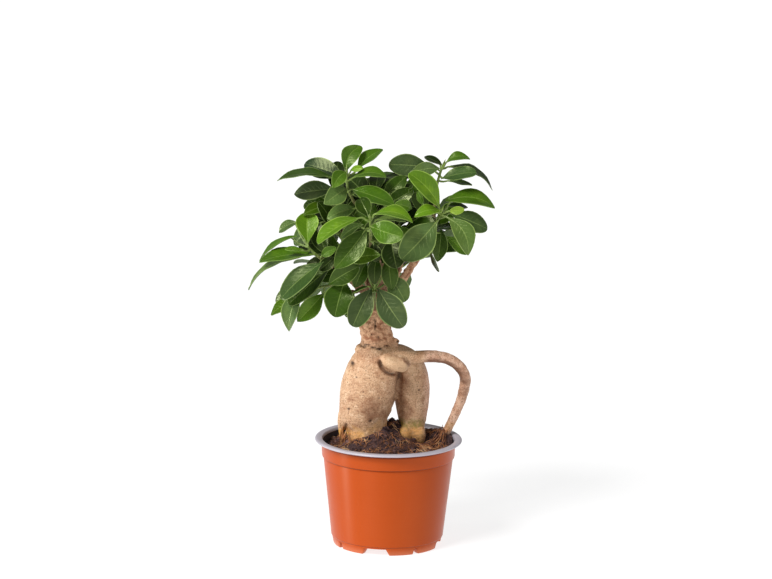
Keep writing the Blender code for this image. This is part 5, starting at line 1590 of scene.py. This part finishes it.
# %% Leaf finish
def leaf_skin():
    made = Finish("waxy leaf", Specular_IOR_Level=0.42, Specular_Tint=(0.9, 1.0, 0.5, 1.0))
    uv = made.node("ShaderNodeUVMap", uv_map="UVMap").outputs["UV"]
    u, v = made.node("ShaderNodeSeparateXYZ", {0: uv}).outputs[:2]
    across = made.maths("ABSOLUTE", made.maths("SUBTRACT", made.maths("MULTIPLY", u, 2.0), 1.0))
    wobble = made.maths("MULTIPLY", made.noise(90.0, 2.0), 0.16)
    slant = made.maths("ADD", made.maths("SUBTRACT", v, made.maths("MULTIPLY", across, 0.2)), wobble)
    vein_wave = made.maths("COSINE", made.maths("MULTIPLY", slant, 2 * math.pi * 9))
    vein = made.maths("MULTIPLY", made.step(vein_wave, 0.6, 1.0), made.step(across, 0.9, 0.3))
    thin = made.maths("MULTIPLY_ADD", v, -0.030)
    thin.node.inputs[2].default_value = 0.052
    midrib = made.step(made.maths("DIVIDE", across, thin), 1.5, 0.4)
    margin = made.step(across, 0.90, 0.96)
    tint = made.attribute("tint")
    patch, speck = made.noise(38.0, 2.0), made.noise(420.0, 3.0)
    deeper = made.mix(1.0, tint, (0.52, 0.56, 0.5), "MULTIPLY")
    lighter = made.mix(1.0, tint, (1.6, 1.38, 1.2), "MULTIPLY")
    colour = made.mix(made.step(patch, 0.38, 0.62, 0.0, 0.6), tint, deeper)
    colour = made.mix(made.step(made.noise(55.0, 2.0), 0.5, 0.7, 0.0, 0.55), colour, lighter)
    colour = made.mix(made.step(across, 0.45, 0.95, 0.0, 0.35), colour, deeper)
    colour = made.mix(made.step(speck, 0.5, 0.75, 0.0, 0.22), colour, deeper)
    colour = made.mix(made.maths("MULTIPLY", vein, 0.2), colour, lighter)
    pale = made.mix(0.42, made.mix(1.0, tint, (2.3, 1.9, 1.8), "MULTIPLY"), (0.42, 0.54, 0.17))
    colour = made.mix(made.maths("MULTIPLY", midrib, 0.6), colour, pale)
    colour = made.mix(made.maths("MULTIPLY", margin, 0.8), colour, pale)
    lower = made.mix(0.45, tint, (0.14, 0.22, 0.09))
    under = made.attribute("under", "Fac")
    made.wire("Base Color", made.mix(under, colour, lower))
    gloss = made.step(patch, 0.3, 0.7, 0.24, 0.38)
    made.wire("Roughness", made.maths("MAXIMUM", gloss, made.maths("MULTIPLY", under, 0.6)))
    quilt = made.maths("MULTIPLY", made.noise(170.0, 2.0), 0.9)
    quilt = made.maths("SUBTRACT", quilt, made.maths("MULTIPLY", vein, 0.22))
    made.bump(quilt, 0.0004)
    return made.material


leaf_finish = leaf_skin()

# %% [markdown]
# Stems are brown and knobbly where they leave the wood and green towards the tip, where a pointed
# sheath wraps the next leaf. Stalks are green and a little bowed, and run on under the blade as its
# midrib.

# %% Stems and stalks
STALK_BASE, STALK_NECK = 0.95 * MM, 0.6 * MM
BUD_LENGTH, BUD_RADIUS = 7.5 * MM, 1.1 * MM
KNOT_SPACING, KNOT_SWELL = 6.5 * MM, 0.22
WOODY, GREEN_STEM = (0.20, 0.125, 0.06), (0.24, 0.34, 0.075)


def stem_line(route):
    """Points and radii along a stem, swollen at each knot where a leaf has grown, with a bud on its end."""
    length = route_length(route)
    count = max(12, int(length / (1.1 * MM)))
    line = []
    for i in range(count + 1):
        run = length * i / count
        radius = STEM_RADIUS + (STEM_TIP_RADIUS - STEM_RADIUS) * i / count
        ring = math.cos(2 * math.pi * run / KNOT_SPACING)
        line.append((route_point(route, run), radius * (1 + KNOT_SWELL * max(0.0, ring) ** 6)))
    onward = (route[-1] - route[-2]).normalized()
    for share, swell in ((0.12, 1.0), (0.4, 0.82), (0.7, 0.5), (1.0, 0.12)):
        line.append((route[-1] + onward * BUD_LENGTH * share, BUD_RADIUS * swell))
    return line


def stalk_line(blade):
    """Points and radii of a bowed stalk, from inside the stem to a little way under the blade."""
    end = blade.stalk_end - blade.normal * 0.2 * MM
    bow = Vector((0, 0, -1)) * (end - blade.foot).length * 0.08
    middle = blade.foot.lerp(end, 0.5) + bow
    run_on = blade.point(0.16, 0.0) - blade.normal * 0.35 * MM
    stops = [blade.foot, middle, end] + ([] if blade.from_side else [run_on])
    route = smooth_route(stops, 4)
    last = len(route) - 1
    return [(point, STALK_BASE + (STALK_NECK - STALK_BASE) * i / last) for i, point in enumerate(route)]


def set_tint(piece, tint_at):
    """Gives a piece of stem the same attributes as a leaf has, so that they can be joined."""
    tint, _ = leaf_attributes(piece)
    for vert in piece.data.vertices:
        tint.data[vert.index].color = (*tint_at(vert.co), 1.0)


def stem_skin():
    made = Finish("green stem", Roughness=0.5, Specular_IOR_Level=0.4)
    tint = made.attribute("tint")
    streaks = made.noise(400.0, 4.0, 0.6)
    dark = made.mix(1.0, tint, (0.45, 0.42, 0.4), "MULTIPLY")
    made.wire("Base Color", made.mix(made.step(streaks, 0.45, 0.65, 0.0, 0.7), tint, dark))
    made.bump(streaks, 0.0002)
    return made.material


stem_finish = stem_skin()

# %% [markdown]
# A shoot is put together from its stem, its stalks and its leaves, and joined into one piece that stands
# for the plain shoot. Shoots inside the crown get the coarser leaf.

# %% Shoots
def dress_shoot(name):
    """One leafy shoot as one piece: stem, stalks and leaves."""
    route, leaves = routes[name], laid[name]
    foot, length = route[0], route_length(route)

    def stem_tint(place):
        share = smooth((place - foot).length / length, 0.15, 0.8)
        return [a + (b - a) * share for a, b in zip(WOODY, GREEN_STEM)]

    stem = bars(name + "_stem", [stem_line(route)], 8)
    set_tint(stem, stem_tint)
    stem.data.materials.append(stem_finish)
    stalks = bars(name + "_stalks", [stalk_line(blade) for blade in leaves], 6)
    set_tint(stalks, lambda place: GREEN_STEM)
    stalks.data.materials.append(stem_finish)
    pattern = plain_pattern if name in HIDDEN_SHOOTS else fine_pattern
    blades = [lay_leaf(f"{name}_leaf_{number}", blade, pattern) for number, blade in enumerate(leaves)]
    for blade in blades:
        blade.data.materials.append(leaf_finish)
    whole = joined(name.replace("shoot", "leafy_stem"), [stem, stalks] + blades)
    bpy.ops.object.shade_smooth_by_angle(angle=math.radians(50))
    slot = next(part["material_slot"] for part in frame["record"]["subparts"] if part["node"] == name)
    finished(whole, slot, name)


for name in laid:
    dress_shoot(name)
for pattern in (fine_pattern, plain_pattern):
    bpy.data.objects.remove(pattern)
